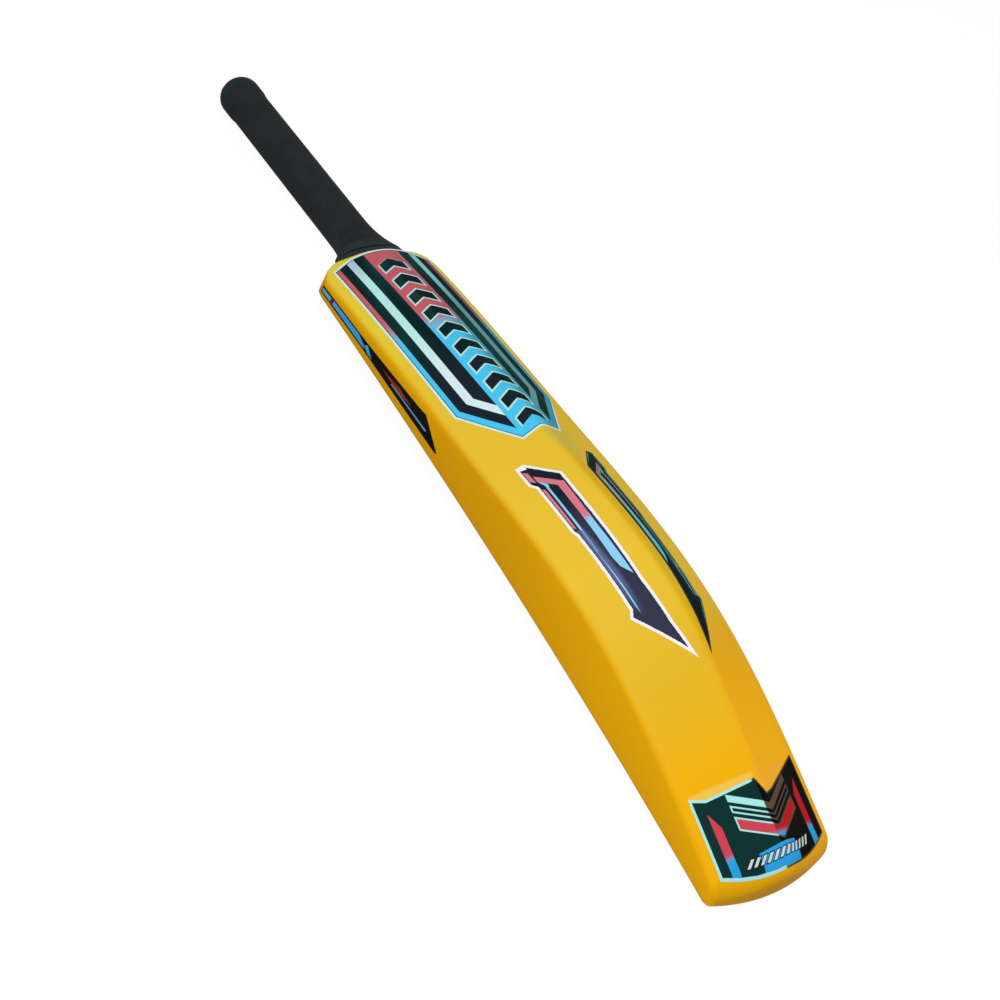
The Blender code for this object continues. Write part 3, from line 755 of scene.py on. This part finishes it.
def blade_look():
    look = Look("blade_plastic", BLADE_SHINE, BLADE_INKS)
    plane = look.join(look.x, look.y)
    sideways, _, upright = look.split(look.spot.outputs["Normal"])
    # Painted light: faces turned up take the lit lemon, which reaches further towards the toe on the left
    # flank that faces the light; the walls and the toe keep the shaded amber.
    slower = look.line(look.ramp(look.y, *SLOW_TURN_SPAN), SLOW_TURN_POWER, 1.0)
    lit_upward = look.math("POWER", look.ramp(upright, *LIT_UPWARD_TURN), slower)
    lit_leftward = look.ramp(sideways, *LIT_LEFTWARD_TURN)
    cloud = look.noise(*CLOUD)
    lemon = look.blend(cloud, "lemon", "lemon_cloud")
    lemon = look.tint(lemon, "lemon_toe", look.y, LEMON_TOE_SPAN)
    # Towards the top the lemon turns paler, partly the plastic's hue and partly painted reflection.
    lemon = look.tint(lemon, "lemon_top", look.y, LEMON_TOP_SPAN)
    # Painted shade along the right side of the ridge.
    ridge = look.times(look.ramp(look.x, *RIDGE_SHADE_LEFT_SPAN), look.ramp(look.x, *RIDGE_SHADE_RIGHT_SPAN))
    ridge = look.times(ridge, look.ramp(look.y, *RIDGE_SHADE_TOP_SPAN))
    lemon = look.blend(look.times(ridge, RIDGE_SHADE_STRENGTH), lemon, "ridge")
    amber = look.blend(cloud, "amber", "amber_cloud")
    # Painted shade: the amber darkens towards the top of the blade.
    amber = look.tint(amber, "shaded_amber_top", look.y, SHADED_AMBER_TOP_SPAN)
    along = look.ramp(look.line(lit_leftward, LIT_LEMON_LEAD_AT_LEFT, look.y), *LEMON_SPAN)
    base = look.blend(look.times(lit_upward, along), amber, lemon)
    for patch in BLADE_PATCHES:
        base = look.fill(base, plane, *patch)
    base = look.blend(look.times(look.noise(*SPECK), SPECK_STRENGTH), base, "speck")
    height = look.plus(look.times(look.noise(*BLADE_PORES), BLADE_PORE_DEPTH), look.noise(*BLADE_WAVES))
    return look.finish(base, BLADE_ROUGHNESS, height, BLADE_BUMP)


# The grip: painted shade in the grooves between the ribs, and a green cast on its skirt and its butt. Spans
# run along the handle, in millimetres.
GRIP_SHINE = 0.22
GRIP_INKS = {
    "rubber": (30, 36, 39), "worn": (42, 48, 51), "groove_shade": (5, 7, 8), "cast": (18, 46, 48),
}
GROOVES_START_SPAN = (10.5, 12.0)
GROOVES_END_SPAN = (214.0, 209.0)
SKIRT_CAST_SPAN = (12.0, 2.0)
BUTT_CAST_SPAN = (200.0, 220.0)
CAST_STRENGTH = 0.85
WEAR = (7, 3)
GROOVE_SHADE_NOISE = ((30, 2), 0.9, 0.2)
GRIP_ROUGHNESS = ((2, 2), 0.15, 0.50)
GRIP_GRAIN = (0.5, 2)
GRIP_BUMP = (0.3, 0.0001)


def grip_look():
    look = Look("grip_rubber", GRIP_SHINE, GRIP_INKS)
    across, along, over = look.split(look.seen_from(BLADE_TO_ROW @ HANDLE_FOOT, LIE_TILT - HANDLE_LEAN))
    fold = look.math("PINGPONG", look.minus(along, MM * ZIGZAG_START), MM * ZIGZAG_LENGTH)
    lean = 1 / (MM * math.tan(RIB_SLOPE) * GRIP_RADIUS_LOW)
    zigzags = look.times(look.line(fold, lean, look.math("ARCTAN2", over, across)), RIB_COUNT)
    hoops = look.times(along, math.tau / (MM * HOOP_PITCH))
    on_zigzag = look.math("GREATER_THAN", along, MM * ZIGZAG_START)
    phase = look.plus(look.times(zigzags, on_zigzag), look.times(hoops, look.minus(1.0, on_zigzag)))
    # Painted shade in the grooves between the ribs, made patchy by noise.
    groove_shade = look.line(look.math("COSINE", phase), -0.5, 0.5)
    ribbed = look.times(look.ramp(along, *GROOVES_START_SPAN), look.ramp(along, *GROOVES_END_SPAN))
    shade_grain, weight, least = GROOVE_SHADE_NOISE
    ribbed = look.times(ribbed, look.line(look.noise(*shade_grain), weight, least))
    rubber = look.blend(look.noise(*WEAR), "rubber", "worn")
    rubber = look.blend(look.times(groove_shade, ribbed), rubber, "groove_shade")
    ends = look.plus(look.ramp(along, *SKIRT_CAST_SPAN), look.ramp(along, *BUTT_CAST_SPAN))
    base = look.blend(look.times(ends, CAST_STRENGTH), rubber, "cast")
    return look.finish(base, GRIP_ROUGHNESS, look.noise(*GRIP_GRAIN), GRIP_BUMP)


# The core: a black plastic that shows as a narrow band
CORE_SHINE = 0.3
CORE_INKS = {"dark": (24, 38, 39), "light": (34, 50, 50)}
CORE_MOTTLE = (5, 2)
CORE_ROUGHNESS = ((1.2, 2), 0.15, 0.38)
CORE_GRAIN = (0.6, 2)
CORE_BUMP = (0.2, 0.0001)


def core_look():
    look = Look("core_plastic", CORE_SHINE, CORE_INKS)
    base = look.blend(look.noise(*CORE_MOTTLE), "dark", "light")
    return look.finish(base, CORE_ROUGHNESS, look.noise(*CORE_GRAIN), CORE_BUMP)


# The finish that the stickers share: a faint mottle, a soft gloss and fine waves in the film
VINYL_SHINE = 0.012
MOTTLE = (0.8, 2)
MOTTLE_STRENGTH = 0.02
MOTTLE_GREY = (110, 118, 120)
VINYL_ROUGHNESS = ((6, 3), 0.10, 0.34)
VINYL_WAVES = (5, 2)
VINYL_BUMP = (0.12, 0.0002)

# Rows of dots that fade one ink into another: radians in a millimetre, and how far they swing the fade
DOT_TURN = 3.0
DOT_SWING = 0.45


def vinyl(look, base):
    base = look.blend(look.times(look.noise(*MOTTLE), MOTTLE_STRENGTH), base, colour(*MOTTLE_GREY))
    return look.finish(base, VINYL_ROUGHNESS, look.noise(*VINYL_WAVES), VINYL_BUMP)


def halftone(look, start, end, low, high):
    """One ink that gives way to another through rows of dots, from start to end along the blade."""
    slant = look.times(look.plus(look.x, look.y), DOT_TURN)
    counter = look.times(look.minus(look.x, look.y), DOT_TURN)
    dots = look.times(look.math("SINE", slant), look.math("SINE", counter))
    level = look.plus(look.ramp(look.y, start, end), look.line(dots, DOT_SWING, -0.5))
    return look.blend(look.over(level, 0.0), low, high)


# The shoulder's sticker: bands on its sides that end in a point, and a row of chevrons up its middle. Right
# of its middle its inks are painted in shade, and its rim there takes a painted warm light. Each band has its
# ink, its half width, and where its side and its point end.
SHOULDER_INKS = {
    "night": (8, 34, 36), "streak": (20, 60, 60), "slate": (26, 36, 46), "pink": (200, 96, 106),
    "shaded_right_pink": (158, 92, 96), "sky": (72, 200, 244), "shaded_right_sky": (64, 160, 180),
    "pale": (184, 238, 235), "toe_pale": (216, 240, 243), "top_pale": (176, 200, 222),
    "shaded_right_pale": (98, 160, 166), "shaded_right_top_pale": (136, 212, 212), "rim": (208, 240, 238),
    "warm_lit_right_rim": (204, 206, 172), "line": (20, 40, 66), "chevron_rim": (190, 234, 230),
}
SHADED_RIGHT_SPAN = (-3.0, 3.0)
LEFT_SPAN = (3.0, -3.0)
STREAKS = (14, 2, (1, 0.08, 1))
STREAK_SPAN = (0.35, 0.7)
SLATE_SPAN = (470, 400)
SHADED_PINK_SPAN = (0.0, 30.0)
SHADED_SKY_SPAN = (2.0, 12.0)
PINK_TO_SKY = (488, 450)
TOE_PALE_SPAN = (480, 410)
TOP_PALE_SPAN = (520, 552)
RIGHT_TOP_PALE_SPAN = (480, 530)
WARM_LIT_RIM_SPAN = (30, 40)
BAND_MIDDLE = -5
BAND_TOP = 600
BAND_POINT = 15.6
SHOULDER_BANDS = (("dark", 38.6, 384.0, 351.0), ("light", 31.4, 387.0, 364.6), ("dark", 25.2, 389.0, 375.4))
THIN_LINE = (13.7, 14.6)
THIN_LINE_PALENESS = 0.3
CHEVRON_PITCH = 20.0
CHEVRON_SLOPE = 0.55
CHEVRON_HALF_THICKNESS = 6.2
CHEVRON_SQUEEZE = 0.88
CHEVRON_HALF_WIDTH = 12.2
CHEVRON_ROW = (357.0, 545.0)
CHEVRON_RIM = 1.3
SHOULDER_RIM = 1.6
SHOULDER_LINE_END = 2.2


def shoulder_look():
    look = Look("shoulder_label_vinyl", VINYL_SHINE, SHOULDER_INKS)
    across = look.size(look.x)
    plane = look.join(across, look.y)
    dark = look.tint("night", "streak", look.noise(*STREAKS), STREAK_SPAN)
    slate = look.times(look.ramp(look.y, *SLATE_SPAN), look.ramp(look.x, *LEFT_SPAN))
    look.inks["dark"] = look.blend(slate, dark, "slate")
    # Painted shade: right of the middle the pink, the sky and the pale ink turn to darker, duller copies.
    pink = look.tint("pink", "shaded_right_pink", look.x, SHADED_PINK_SPAN)
    sky = look.tint("sky", "shaded_right_sky", look.x, SHADED_SKY_SPAN)
    field = halftone(look, *PINK_TO_SKY, pink, sky)
    left = look.tint("pale", "toe_pale", look.y, TOE_PALE_SPAN)
    left = look.tint(left, "top_pale", look.y, TOP_PALE_SPAN)
    right = look.tint("shaded_right_pale", "shaded_right_top_pale", look.y, RIGHT_TOP_PALE_SPAN)
    look.inks["light"] = look.tint(left, right, look.x, SHADED_RIGHT_SPAN)

    printed = field
    for ink, width, side_end, point_end in SHOULDER_BANDS:
        top = ((BAND_MIDDLE, BAND_TOP), (width, BAND_TOP), (width, side_end))
        printed = look.fill(printed, plane, ink, (*top, (BAND_POINT, point_end), (BAND_MIDDLE, point_end)))
    printed = look.blend(look.under(across, BAND_POINT, BROAD_EDGE), printed, field)
    thin = look.blend(THIN_LINE_PALENESS, field, "light")
    printed = look.blend(look.within(look.x, *THIN_LINE, FINE_EDGE), printed, thin)

    slant = look.line(across, CHEVRON_SLOPE, look.y)
    reach = look.minus(look.repeat(slant, CHEVRON_PITCH), CHEVRON_HALF_THICKNESS)
    width = look.minus(across, CHEVRON_HALF_WIDTH)
    chevron = look.math("MAXIMUM", look.times(reach, CHEVRON_SQUEEZE), width)
    in_row = look.within(slant, *CHEVRON_ROW, FINE_EDGE)
    for level, ink in ((0.0, "chevron_rim"), (-CHEVRON_RIM, "dark")):
        printed = look.blend(look.times(look.under(chevron, level, BROAD_EDGE), in_row), printed, ink)

    edge = look.border(plane, shoulder_half())
    # Painted warm light on the rim's right side.
    rim = look.tint("rim", "warm_lit_right_rim", look.x, WARM_LIT_RIM_SPAN)
    base = look.blend(look.over(edge, SHOULDER_RIM, FINE_EDGE), rim, "line")
    base = look.blend(look.over(edge, SHOULDER_LINE_END, FINE_EDGE), base, printed)
    return vinyl(look, base)


# The flanks' stickers: the same shapes on both sides, in the inks given for the left and the right, where the
# right's inks paint the same print in shade. A flank has its name, its side, the least width of its ragged
# border, and small painted glints. A shape has its ink, whether a black line runs round it, and its corners.
FLANK_GLINTS = (
    ((28.0, 209.0), (26.4, 213.0), (25.4, 209.0)),
    ((30.6, 194.0), (28.4, 199.0), (27.0, 186.0), (30.4, 184.0)),
)
FLANKS = (("left_flank", -1, 1.5, ()), ("right_flank", 1, 0.7, FLANK_GLINTS))
# Painted shade: each ink's second value, for the right, is the same print as it shows in shade.
FLANK_INKS = {
    "border": ((240, 240, 244), (40, 66, 44)),
    "line": ((40, 32, 56), (92, 184, 172)),
    "black": ((26, 34, 46), (4, 34, 36)),
    "pink": ((214, 120, 136), (150, 124, 128)),
    "faded": ((214, 120, 136), (156, 170, 158)),
    "outer": ((214, 120, 136), (58, 52, 36)),
    "sky": ((142, 206, 243), (104, 196, 208)),
    "thread": ((142, 206, 243), (122, 172, 174)),
    "painted_sheen": ((100, 112, 162), (46, 84, 90)),
    "body": ((53, 54, 74), (2, 20, 24)),
}
FLANK_SHAPES = (
    ("pink", True, ((29.0, 310.6), (29.0, 304.0), (19.4, 294.0), (14.4, 296.0))),
    ("stripe", True, ((15.4, 268.0), (20.3, 268.0), (21.4, 228.0), (20.4, 219.0), (15.2, 208.6))),
    ("stripe", False, ((14.6, 296.6), (19.5, 294.6), (20.0, 258.0), (15.8, 258.0))),
    ("outer", True, ((30.2, 298.6), (27.2, 295.6), (27.4, 256.6), (29.9, 259.4))),
    ("outer", True, ((33.3, 317.0), (29.4, 313.6), (29.0, 302.6), (33.3, 306.6))),
    ("sky", False, ((28.6, 304.2), (24.2, 299.4), (24.2, 296.4), (26.4, 299.0))),
    ("thread", False, ((26.3, 299.6), (24.9, 298.0), (25.3, 236.0), (26.7, 236.0))),
)
FLANK_CORNER = ((36.0, 324.0), (28.5, 324.0), (28.5, 312.8), (33.6, 317.6), (36.0, 318.0))
FLANK_SHEEN = ((28.6, 256.0), (24.6, 256.0), (23.4, 236.0), (22.4, 206.0), (22.0, 176.0), (28.3, 192.0))
FLANK_LOW_THREAD = ((26.5, 237.0), (25.2, 237.0), (24.8, 205.0), (23.4, 176.4), (25.4, 190.0))
SHAPE_LINE = 0.45
BLACK_SPAN = (255, 290)
PINK_SPAN = (288.0, 296.0)
SKY_TO_PINK = (259.0, 266.0)
TEAR = ((1.6, 2), 12.0, -6.0)
SHEEN_SPAN = (176, 215)
SHEEN_EDGE = 1.6
SHEEN_STRENGTH = 0.7
GLINT_EDGE = 0.4
FRINGE = (1.8, 2)
FRINGE_DEPTH = 0.7
INNER_LINE_SPAN = (0.4, 0.65)
OUTER_LINE_SPAN = (17.0, 23.0)


def flank_look(name, rim, glints, inks):
    look = Look(name + "_label_vinyl", VINYL_SHINE, inks)
    across = look.size(look.x)
    plane = look.join(across, look.y)
    grain, weight, least = TEAR
    torn = look.plus(look.y, look.line(look.noise(*grain), weight, least))
    pink = look.tint("faded", "pink", look.y, PINK_SPAN)
    look.inks["stripe"] = look.tint("sky", pink, torn, SKY_TO_PINK)

    base = look.tint("body", "black", look.y, BLACK_SPAN)
    corner = look.inside(plane, FLANK_CORNER)
    base = look.blend(corner, base, "border")
    for ink, lined, corners in FLANK_SHAPES:
        if lined:
            base = look.fill(base, plane, "black", corners)
            corners = shrunk(corners, SHAPE_LINE)
        base = look.fill(base, plane, ink, corners)
    # Painted sheen that lightens the dark body low on the sticker's outer side.
    painted_sheen = look.times(look.inside(plane, FLANK_SHEEN, SHEEN_EDGE), look.ramp(look.y, *SHEEN_SPAN))
    base = look.blend(look.times(painted_sheen, SHEEN_STRENGTH), base, "painted_sheen")
    base = look.fill(base, plane, "sky", FLANK_LOW_THREAD)
    for glint in glints:
        base = look.fill(base, plane, "line", glint, GLINT_EDGE)

    edge = look.border(plane, (*FLANK_LABEL_CORNERS, FLANK_LABEL_CORNERS[0]))
    edge = look.minus(edge, look.line(look.noise(*FRINGE), FRINGE_DEPTH, rim))
    line = look.blend(corner, look.tint("black", "line", across, OUTER_LINE_SPAN), "border")
    base = look.tint(line, base, edge, INNER_LINE_SPAN)
    return vinyl(look, look.blend(look.over(edge, 0.0), "border", base))


# The toe's sticker: bars, nested chevrons and a row of slanted slashes, whose inks right of the middle are
# painted in shade. A chevron has its lower and upper height at the middle, and its ink.
TOE_INKS = {
    "night": (12, 50, 48), "black": (4, 4, 5), "mint": (170, 232, 228), "mint_in_shade": (92, 70, 58),
    "pink": (204, 66, 84), "red": (182, 22, 26), "blue": (40, 158, 224), "slash_rim": (12, 26, 30),
    "slash": (206, 216, 216),
}
TOE_SHADE_SPAN = (-3.4, -2.4)
BLUE_TO_RED = (21.5, 28.5)
TOE_BARS = (
    ((-40.6, 0.0), (-35.0, 0.0), (-35.0, 43.0), (-40.6, 54.0)),
    ((31.4, 0.0), (37.6, 0.0), (37.6, 56.0), (31.4, 45.6)),
    ((-19.5, 0.0), (10.0, 0.0), (10.0, 19.0), (-19.5, 19.0)),
)
TOE_CHEVRONS = ((20.5, 29.5, "fade"), (32.0, 36.6, "dark"), (39.0, 43.6, "shades"))
TOE_CHEVRON_MIDDLE = 1.0
TOE_CHEVRON_SPAN = 26.0
TOE_CHEVRON_SLOPE = 0.62
TOE_CHEVRON_SQUEEZE = 0.85
TOE_CHEVRON_RIM = 1.0
SLASH_PITCH = 4.5
SLASH_LEAN = 0.9
SLASH_HALF_WIDTH = 1.1
SLASH_HALF_HEIGHT = 2.5
SLASH_BEND = 0.0042
SLASH_SLOPE = 0.030
SLASH_HEIGHT = 13.6
SLASH_ROW = (-29.0, 25.0)
SLASH_RIM = 0.7
TOE_RIM_SPAN = (-6.0, -4.0)
TOE_RIM = 1.7
TOE_RIM_LOSS = 0.8


def toe_look():
    look = Look("toe_label_vinyl", VINYL_SHINE, TOE_INKS)
    plane = look.join(look.x, look.y)
    # Painted shade: right of the middle the pink turns red, the dark green black and the mint brown.
    red = look.tint("pink", "red", look.x, TOE_SHADE_SPAN)
    look.inks["fade"] = halftone(look, *BLUE_TO_RED, "blue", red)
    look.inks["dark"] = look.tint("night", "black", look.x, TOE_SHADE_SPAN)
    look.inks["shades"] = look.tint("mint", "mint_in_shade", look.x, TOE_SHADE_SPAN)

    base = "dark"
    for corners in TOE_BARS:
        base = look.fill(base, plane, "fade", corners)
    wing = look.size(look.minus(look.x, TOE_CHEVRON_MIDDLE))
    climb = look.line(wing, -TOE_CHEVRON_SLOPE, look.y)
    depth = look.minus(TOE_CHEVRON_SPAN, wing)
    for low, high, ink in TOE_CHEVRONS:
        away = look.minus((high - low) / 2, look.size(look.minus(climb, (low + high) / 2)))
        inner = look.math("MINIMUM", look.times(away, TOE_CHEVRON_SQUEEZE), depth)
        base = look.blend(look.over(inner, 0.0), base, "shades")
        base = look.blend(look.over(inner, TOE_CHEVRON_RIM), base, ink)

    bent = look.minus(look.y, look.times(look.times(look.x, look.x), SLASH_BEND))
    bent = look.minus(bent, look.line(look.x, SLASH_SLOPE, SLASH_HEIGHT))
    slant = look.line(bent, -SLASH_LEAN, look.x)
    reach = look.minus(look.repeat(slant, SLASH_PITCH), SLASH_HALF_WIDTH)
    slash = look.math("MAXIMUM", reach, look.minus(look.size(bent), SLASH_HALF_HEIGHT))
    in_row = look.within(slant, *SLASH_ROW, FINE_EDGE)
    for level, ink in ((SLASH_RIM, "slash_rim"), (0.0, "slash")):
        base = look.blend(look.times(look.under(slash, level, FINE_EDGE), in_row), base, ink)

    outline = toe_outline(TOE_BORDER_STEPS)
    edge = look.border(plane, [*outline, outline[0]])
    # Right of the middle the rim is narrower and painted in shade, in brown.
    width = look.line(look.ramp(look.x, *TOE_RIM_SPAN), -TOE_RIM_LOSS, TOE_RIM)
    rim = look.tint("mint", "mint_in_shade", look.x, TOE_RIM_SPAN)
    return vinyl(look, look.blend(look.over(edge, width), rim, base))


# The edge's sticker: shapes on black, in (y, height over the face), each with its ink. Two have softer edges.
EDGE_INKS = {
    "black": (8, 12, 14), "soot": (26, 22, 18), "light_blue": (110, 170, 212),
    "deep_blue": (58, 164, 226), "band": (110, 36, 34), "red": (150, 50, 30), "thin": (96, 156, 180),
}
SOOT = (8, 2)
BLUE_SPAN = (545, 500)
EDGE_SHAPES = (
    ("blue", ((540.4, 7.6), (540.4, 10.9), (528.0, 11.8), (528.0, 7.9))),
    ("blue", ((524.5, 8.4), (524.5, 12.2), (481.0, 15.2), (479.0, 12.2), (471.0, 9.8))),
    ("blue", ((478.6, 12.0), (475.0, 15.6), (465.5, 10.0), (472.0, 9.9))),
    ("band", ((527.4, 7.0), (527.4, 12.4), (525.2, 12.6), (525.2, 7.2))),
    ("red", ((451.0, 14.6), (430.0, 13.6), (413.0, 17.8), (430.0, 18.2)), 0.5),
    ("thin", ((438.5, 12.6), (438.0, 13.8), (390.0, 16.6), (390.5, 14.8)), 0.3),
)


def edge_look():
    look = Look("left_edge_label_vinyl", VINYL_SHINE, EDGE_INKS)
    share = look.math("DIVIDE", look.y, MM * BLADE_LENGTH)
    bow = look.line(share, -2 * MM * FACE_BOW_TO_TOE, MM * (4 * FACE_BOW + FACE_BOW_TO_TOE))
    face = look.times(look.times(share, look.minus(1.0, share)), bow)
    plane = look.join(look.y, look.minus(look.z, face))
    base = look.blend(look.noise(*SOOT), "black", "soot")
    look.inks["blue"] = look.tint("light_blue", "deep_blue", look.y, BLUE_SPAN)
    for shape in EDGE_SHAPES:
        base = look.fill(base, plane, *shape)
    return vinyl(look, base)


def shoulder_half():
    """The right half of the shoulder sticker's outline, from its notch up to the middle of its crown."""
    half = SHOULDER_LABEL_HALF_WIDTH
    across, down = SHOULDER_LABEL_CHAMFER
    top = SHOULDER_LABEL_TOP
    crown = []
    for share in np.linspace(1, 0, CROWN_STEPS + 1):
        crown.append((share * (half - across), top + SHOULDER_LABEL_CROWN * (1 - share * share)))
    return [
        (0, SHOULDER_LABEL_POINT[1] + SHOULDER_LABEL_NOTCH),
        SHOULDER_LABEL_POINT,
        (half, SHOULDER_LABEL_SIDE_END),
        (half, top - down),
        *crown,
    ]


def toe_outline(steps):
    """The toe sticker's outline, whose lower side is an arc in a number of steps."""
    outline = [*TOE_LABEL_TOP]
    for x in np.linspace(TOE_LABEL_TOP[-1][0], TOE_LABEL_TOP[0][0], steps + 1):
        arc = x * x / (2 * TOE_LABEL_ARC_RADIUS)
        outline.append((x, TOE_LABEL_MARGIN + x * math.tan(TOE_LABEL_LEAN) + arc))
    return outline


def metres(outline):
    return [Vector((x / MM, y / MM, 0)) for x, y in outline]


def add_sticker(name, span, outline, outward, material):
    built = sticker_mesh(span, outline, outward)
    add_piece(name + "_sticker", built, material, name + "_label_vinyl", name + "_label")


def add_stickers():
    right = shoulder_half()
    outline = metres([*right, *[(-x, y) for x, y in reversed(right[1:-1])]])
    add_sticker("shoulder", SHOULDER_SPAN, outline, TO_BACK, shoulder_look())
    for index, (name, side, rim, glints) in enumerate(FLANKS):
        inks = {key: pair[index] for key, pair in FLANK_INKS.items()}
        outline = metres([(side * x, y) for x, y in FLANK_LABEL_CORNERS])
        add_sticker(name, FLANK_SPAN, outline, TO_BACK, flank_look(name, rim, glints, inks))
    add_sticker("toe", TOE_SPAN, metres(toe_outline(TOE_ARC_STEPS)), TO_BACK, toe_look())
    outline = []
    for y, rise in EDGE_LABEL_CORNERS:
        outline.append(Vector((-TOE_WIDTH / 2, y / MM, face_height(y / MM) + rise / MM)))
    add_sticker("left_edge", EDGE_SPAN, outline, TO_LEFT, edge_look())


def add_camera():
    turn = Matrix.Rotation(CAMERA_TURN, 3, "X")
    to_row = BLADE_TO_ROW.to_3x3()
    right = to_row @ (turn @ CAMERA_RIGHT)
    up = to_row @ (turn @ -CAMERA_DOWN)
    right.normalize()
    back = right.cross(up).normalized()
    up = back.cross(right)
    data = bpy.data.cameras.new("photo_camera")
    data.sensor_width = SENSOR_WIDTH
    data.lens = FOCAL_PIXELS * SENSOR_WIDTH / PICTURE_SIZE
    camera = add_object("photo_camera", data)
    axes = Matrix((right, up, back)).transposed().to_4x4()
    camera.matrix_world = Matrix.Translation(BLADE_TO_ROW @ CAMERA_PLACE) @ axes
    bpy.context.scene.camera = camera


def add_lamp(name, place, target, size, power, tint):
    data = bpy.data.lights.new(name, "AREA")
    data.color = tint
    data.shape = "RECTANGLE"
    data.size, data.size_y = size
    data.energy = power
    lamp = add_object(name, data)
    aim = (Vector(target) - Vector(place)).to_track_quat("-Z", "Y")
    lamp.matrix_world = Matrix.Translation(place) @ aim.to_matrix().to_4x4()


def show_to_camera(tree, under, shown, share, output):
    """Joins two shaders: the camera's own rays see a share of the second over the first."""
    rays = tree.nodes.new("ShaderNodeLightPath")
    scaled = tree.nodes.new("ShaderNodeMath")
    scaled.operation = "MULTIPLY"
    scaled.inputs[1].default_value = share
    mixed = tree.nodes.new("ShaderNodeMixShader")
    tree.links.new(rays.outputs["Is Camera Ray"], scaled.inputs[0])
    tree.links.new(scaled.outputs[0], mixed.inputs[0])
    tree.links.new(under.outputs[0], mixed.inputs[1])
    tree.links.new(shown.outputs[0], mixed.inputs[2])
    tree.links.new(mixed.outputs[0], tree.nodes[output].inputs["Surface"])


def add_floor():
    built = bmesh.new()
    bmesh.ops.create_grid(built, x_segments=FLOOR_SEGMENTS, y_segments=FLOOR_SEGMENTS, size=FLOOR_SIZE)
    mesh = bpy.data.meshes.new("floor")
    built.to_mesh(mesh)
    built.free()
    floor = add_object("floor", mesh)
    floor.location.z = -FLOOR_DROP
    paper = bpy.data.materials.new("floor_paper")
    paper.use_nodes = True
    tree = paper.node_tree
    shader = tree.nodes["Principled BSDF"]
    shader.inputs["Base Color"].default_value = colour(*FLOOR_GREY)
    shader.inputs["Roughness"].default_value = FLOOR_ROUGHNESS
    shader.inputs["Specular IOR Level"].default_value = FLOOR_SHINE
    glow = tree.nodes.new("ShaderNodeEmission")
    glow.inputs["Strength"].default_value = FLOOR_GLOW
    show_to_camera(tree, shader, glow, FLOOR_GLOW_SHARE, "Material Output")
    mesh.materials.append(paper)


def add_world():
    world = bpy.data.worlds.new("studio")
    bpy.context.scene.world = world
    world.use_nodes = True
    tree = world.node_tree
    room = tree.nodes["Background"]
    backdrop = tree.nodes.new("ShaderNodeBackground")
    for node, strength in ((room, ROOM_LIGHT), (backdrop, BACKDROP_LIGHT)):
        node.inputs["Color"].default_value = WHITE
        node.inputs["Strength"].default_value = strength
    show_to_camera(tree, room, backdrop, 1.0, "World Output")


def use_material(piece, material):
    piece.data.materials.clear()
    piece.data.materials.append(material)


add_blade(blade_look())
add_grip(grip_look())
use_material(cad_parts["handle_core"], core_look())
add_stickers()
add_camera()
add_floor()
add_world()
for lamp in LAMPS:
    add_lamp(**lamp)

bpy.context.scene.view_settings.view_transform = "Standard"
